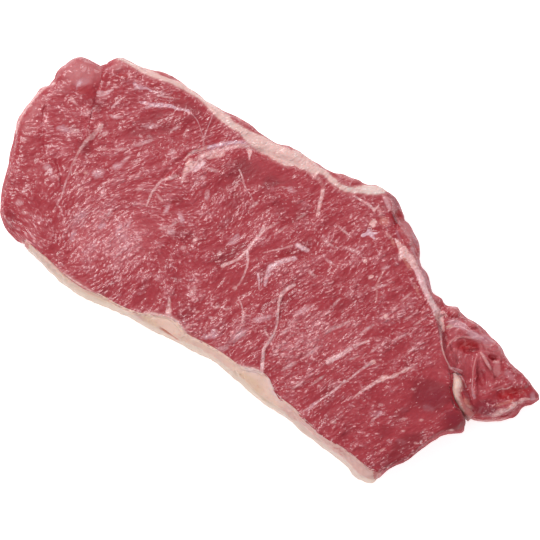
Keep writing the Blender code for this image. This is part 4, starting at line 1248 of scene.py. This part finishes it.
# %% [markdown]
# ## Fat, films and creases on the beef
#
# The marbling is drawn from the stored offsets: their length is 1 at a vein's edge, and a little
# noise added to it makes that edge feathery. The seam uses millimetres inside the band in the
# same way. Films of connective tissue are thin and cloudy, so they only tint what is under them.
# The painted glints, a painted highlight on the edges of the folds and painted shade in the
# creases are laid on here too.

# %% Add the fat, films and creases
MARBLING = linear("e0a9a6")
VEIN_GLINT = linear("f0ccce")
LILAC_FILM = linear("d4a9b7")
SEAM_HALO = linear("bd7274")
SEAM_PINK = linear("d9b0ab")
SEAM_CREAM = linear("d8bab5")
RIM_MAUVE = linear("a5686f")
FOLD_HIGHLIGHT_PINK = linear("cf9494")
# Painted shade: a dark red for the creases of the lean and where the cleft's fat turns down
PAINTED_SHADE_RED = linear("8e1320")

marked = node("Attribute", output="Vector", attribute_name="mark")
length = node("VectorMath", {0: marked}, output="Value", operation="LENGTH")
# Noise makes a vein's edge ragged
ragged = node("Math", {0: grains["dash"], 1: 1.6, 2: length}, operation="MULTIPLY_ADD")
ragged = node("Math", {0: grains["glint"], 1: 1.6, 2: ragged}, operation="MULTIPLY_ADD")
# One cloudy noise breaks up the washes, the skin of the wall and the edge of the seam
cloud_at = node("Mapping", {"Vector": grain_at, "Scale": (1 / 5.0, 1 / 3.0, 1 / 3.0)})
cloud = node("TexNoise", {"Vector": cloud_at, "Scale": 1.0, "Detail": 2.0})
clouded = {name: node("Math", {0: cloud, 1: 0.8, 2: value}, operation="MULTIPLY_ADD")
           for name, value in (
               ("wash", stored["wash_share"]), ("white", stored["white"]), ("dash", grains["dash"]))}
edge = node("Math", {0: grains["dash"], 1: 0.6, 2: stored["fatty"]}, operation="MULTIPLY_ADD")
edge = node("Math", {0: cloud, 1: 0.9, 2: edge}, operation="MULTIPLY_ADD")
# Smooth steps as before, but some never fall below a least share
shows.update({name: node("MapRange", {"Value": value, "From Min": low, "From Max": high, "To Min": least},
                         interpolation_type="SMOOTHSTEP")
              for name, value, low, high, least in (
                  ("vein", ragged, 3.2, 2.1, 0.0), ("vein glint", grains["glint"], 0.5, 0.66, 0.0),
                  ("long patches", grains["swell"], 0.32, 0.55, 0.65),
                  ("short patches", grains["glint"], 0.38, 0.54, 0.62),
                  ("wash", clouded["wash"], 0.55, 1.25, 0.0), ("skin", cloud, 0.35, 0.6, 0.0),
                  ("seam", edge, 0.3, 1.3, 0.0), ("seam's halo", edge, -0.8, 0.7, 0.0),
                  ("cream", clouded["white"], 0.5, 1.1, 0.0), ("stain", clouded["dash"], 0.8, 0.6, 0.0))})
patchy = node("Math", {0: shows["long patches"], 1: shows["short patches"]}, operation="MULTIPLY")
vein = node("Math", {0: shows["vein"], 1: patchy}, operation="MULTIPLY")
vein = node("Math", {0: vein, 1: stored["clear"]}, operation="MULTIPLY")
vein_colour = glazed(node, MARBLING, (
    (stored["lilac"], 1.0, LILAC_FILM),
    # Painted glints on the veins
    (shows["vein glint"], 0.6, VEIN_GLINT),
))
wash = node("Attribute", output="Color", attribute_name="wash")
skin = node("Math", {0: stored["skin"], 1: shows["skin"]}, operation="MULTIPLY")
seam_colour = glazed(node, SEAM_PINK, (
    (shows["cream"], 1.0, SEAM_CREAM),
    (shows["stain"], 0.35, SEAM_HALO),
))
body = glazed(node, body, (
    (shows["wash"], 0.8, wash),
    # Painted highlight on the edges of the folds
    (stored["lit"], 0.7, FOLD_HIGHLIGHT_PINK),
    (vein, 1.0, vein_colour),
    # Painted glints, small highlights on the wet grain
    (shows["glints"], 0.65, GLINT_PINK),
    (shows["seam's halo"], 0.6, SEAM_HALO),
    (shows["seam"], 1.0, seam_colour),
    (skin, 0.6, RIM_MAUVE),
    # Painted shade in the creases
    (stored["crease_shade"], 0.8, PAINTED_SHADE_RED),
))
print("its colour takes", len(beef.node_tree.nodes), "nodes")

# %% [markdown]
# ## The wet surface
#
# The ends of the fibre bundles stand up as small domes, with finer noise on them. They are too
# small for the mesh, so a bump carries them, deeper where the meat is lively. Juice is the coat:
# smooth and clear on the cut face, and nearly gone on the walls and in the dark creases, where
# little light comes in to be reflected.

# %% The wet surface of the beef
# A dome is 1 at the middle of a bundle and falls with the square of the distance from there
squared = node("Math", {0: bundle, 1: bundle}, operation="MULTIPLY")
height = node("Math", {0: squared, 1: -0.8, 2: 1.0}, operation="MULTIPLY_ADD")
for name, share in (("dash", 1.0), ("swell", 0.8), ("glint", 0.4)):
    height = node("Math", {0: grains[name], 1: share, 2: height}, operation="MULTIPLY_ADD")
deeper = node("Math", {0: stored["lively"], 1: 0.9, 2: 0.15}, operation="MULTIPLY_ADD")
height = node("Math", {0: height, 1: deeper}, operation="MULTIPLY")
bump = node("Bump", {"Strength": 1.0, "Distance": 0.6 * MM, "Height": height})
roughness = node("MapRange", {"Value": stored["cut"], "To Min": 0.75, "To Max": 0.43},
                 interpolation_type="SMOOTHSTEP")
wetness = node("Math", {0: stored["cut"], 1: 0.45, 2: 0.05}, operation="MULTIPLY_ADD")
shader = node("BsdfPrincipled", {
    "Base Color": body, "Roughness": roughness, "IOR": 1.38, "Metallic": 0.0,
    "Subsurface Weight": 0.3, "Subsurface Radius": (1.0, 0.35, 0.25), "Subsurface Scale": 1.2 * MM,
    "Coat Weight": wetness, "Coat Roughness": 0.14, "Coat IOR": 1.42, "Normal": bump, "Coat Normal": bump})
node("OutputMaterial", {"Surface": shader})
lean.data.materials.append(beef)
print("raw beef has", len(beef.node_tree.nodes), "nodes")

# %% [markdown]
# ## Beef fat
#
# Raw fat is firm and waxy: paler and drier than the muscle, cream to butter yellow with age and
# feed, tinged pink by blood and lilac by the film between fat and meat. It scatters light more
# deeply than muscle does, which softens all its edges. It has a low waxy sheen and no glints.

# %% The material of the fat
FAT_CREAM = linear("dab6a8")
FAT_BUTTER = linear("d2b09a")
FAT_BLUSH = linear("cda39c")
FAT_LILAC = linear("dab9b8")
FAT_BLOOD = linear("b2595a")
# Painted shade on the outer wall, a greyer tone
FAT_WALL_SHADE = linear("b59c89")
SLIT_ORANGE = linear("b4563c")

suet, node = new_material("beef_fat")
place = node("TexCoord", output="Object")
in_mm = node("VectorMath", {0: place, 1: (1 / MM, 1 / MM, 1 / MM)}, operation="MULTIPLY")
clouds = {}
for name, size, layers in (("cloud", (7.0, 3.0, 4.0), 3.0), ("speck", (1.6, 1.0, 1.2), 2.0)):
    stretched = node("Mapping", {"Vector": in_mm, "Scale": [1 / s for s in size]})
    clouds[name] = node("TexNoise", {"Vector": stretched, "Scale": 1.0, "Detail": layers})
weights = {name: node("Attribute", output="Fac", attribute_name=name) for name in (
    "butter", "blush", "lilac", "blood", "slit", "outer", "gap")}
mixed = {name: node("Math", {0: weights[name], 1: 0.7, 2: clouds["cloud"]}, operation="MULTIPLY_ADD")
         for name in ("butter", "blush", "lilac")}
bloody = node("Math", {0: clouds["speck"], 1: 1.4, 2: weights["blood"]}, operation="MULTIPLY_ADD")
shows = {name: node("MapRange", {"Value": value, "From Min": low, "From Max": high},
                    interpolation_type="SMOOTHSTEP")
         for name, value, low, high in (
             ("butter", mixed["butter"], 0.5, 1.05), ("blush", mixed["blush"], 0.5, 1.05),
             ("lilac", mixed["lilac"], 0.5, 1.05), ("specks", clouds["speck"], 0.56, 0.75),
             ("blood", bloody, 0.85, 1.5))}
colour = glazed(node, FAT_CREAM, (
    (shows["butter"], 1.0, FAT_BUTTER),
    (shows["blush"], 1.0, FAT_BLUSH),
    (shows["lilac"], 0.8, FAT_LILAC),
    (shows["specks"], 0.25, FAT_BLUSH),
    # Painted shade on the outer wall
    (weights["outer"], 0.5, FAT_WALL_SHADE),
    (shows["blood"], 0.9, FAT_BLOOD),
    (weights["slit"], 0.8, SLIT_ORANGE),
    # Painted shade where the lump turns down into the cleft
    (weights["gap"], 0.9, PAINTED_SHADE_RED),
))
bump = node("Bump", {"Strength": 0.4, "Distance": 0.4 * MM, "Height": clouds["speck"]})
shader = node("BsdfPrincipled", {
    "Base Color": colour, "Roughness": 0.5, "IOR": 1.45, "Metallic": 0.0,
    "Subsurface Weight": 0.4, "Subsurface Radius": (1.0, 0.6, 0.4), "Subsurface Scale": 1.5 * MM,
    "Coat Weight": 0.15, "Coat Roughness": 0.3, "Normal": bump})
node("OutputMaterial", {"Surface": shader})
for piece in (fat, cleft_fat):
    piece.data.materials.append(suet)
print("beef fat has", len(suet.node_tree.nodes), "nodes")

# %% [markdown]
# ## The table and the light
#
# The photo is a studio packshot: a white ground and soft light from all round, with a main lamp
# beyond the steak's upper left corner that puts the small glints on the wet grain. A white
# floor, a bright even sky and three area lamps give that. The floor glows a little, so that it
# stays white where the steak shades it, as a lit table does in such photos.

# %% Floor, sky and lamps
bpy.context.scene.view_settings.view_transform = "Standard"

FLOOR_HALF = 2.5
FLOOR_LEVEL = -0.2 * MM
corners = [(x * FLOOR_HALF, y * FLOOR_HALF, FLOOR_LEVEL) for x, y in ((-1, -1), (1, -1), (1, 1), (-1, 1))]
floor_mesh = bpy.data.meshes.new("floor")
floor_mesh.from_pydata(corners, [], [(0, 1, 2, 3)])
floor = bpy.data.objects.new("floor", floor_mesh)
bpy.context.scene.collection.objects.link(floor)

card = bpy.data.materials.new("white_card")
card.use_nodes = True
for socket, value in {"Base Color": linear("f6f6f6"), "Roughness": 0.9,
                      "Emission Color": linear("ffffff"), "Emission Strength": 0.6}.items():
    card.node_tree.nodes["Principled BSDF"].inputs[socket].default_value = value
floor_mesh.materials.append(card)

sky = bpy.data.worlds.new("studio")
sky.use_nodes = True
sky.node_tree.nodes["Background"].inputs["Color"].default_value = (1.0, 1.0, 1.0, 1.0)
sky.node_tree.nodes["Background"].inputs["Strength"].default_value = 0.42
bpy.context.scene.world = sky


def lamp(name, toward, distance, size, watts):
    """A square area lamp that shines on the steak from a direction, at a distance in metres."""
    data = bpy.data.lights.new(name, "AREA")
    data.size = size
    data.energy = watts
    made = bpy.data.objects.new(name, data)
    made.location = toward.normalized() * distance
    made.rotation_euler = toward.to_track_quat("Z", "Y").to_euler()
    bpy.context.scene.collection.objects.link(made)


lamp("main_lamp", AWAY * 0.6 - RIGHT * 0.55 + UPRIGHT * 1.0, 1.3, 0.40, 9.0)
lamp("back_lamp", AWAY * 0.8 + RIGHT * 0.3 + UPRIGHT * 1.0, 1.3, 0.35, 3.5)
lamp("fill_lamp", UPRIGHT * 1.0 - AWAY * 0.9 - RIGHT * 0.3, 1.5, 0.9, 5.0)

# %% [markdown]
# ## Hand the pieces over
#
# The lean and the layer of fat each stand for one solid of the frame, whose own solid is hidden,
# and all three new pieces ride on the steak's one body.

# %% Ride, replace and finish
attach(lean, "root")
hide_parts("lean")
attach(fat, "root")
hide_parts("fat_cap")
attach(cleft_fat, "root")
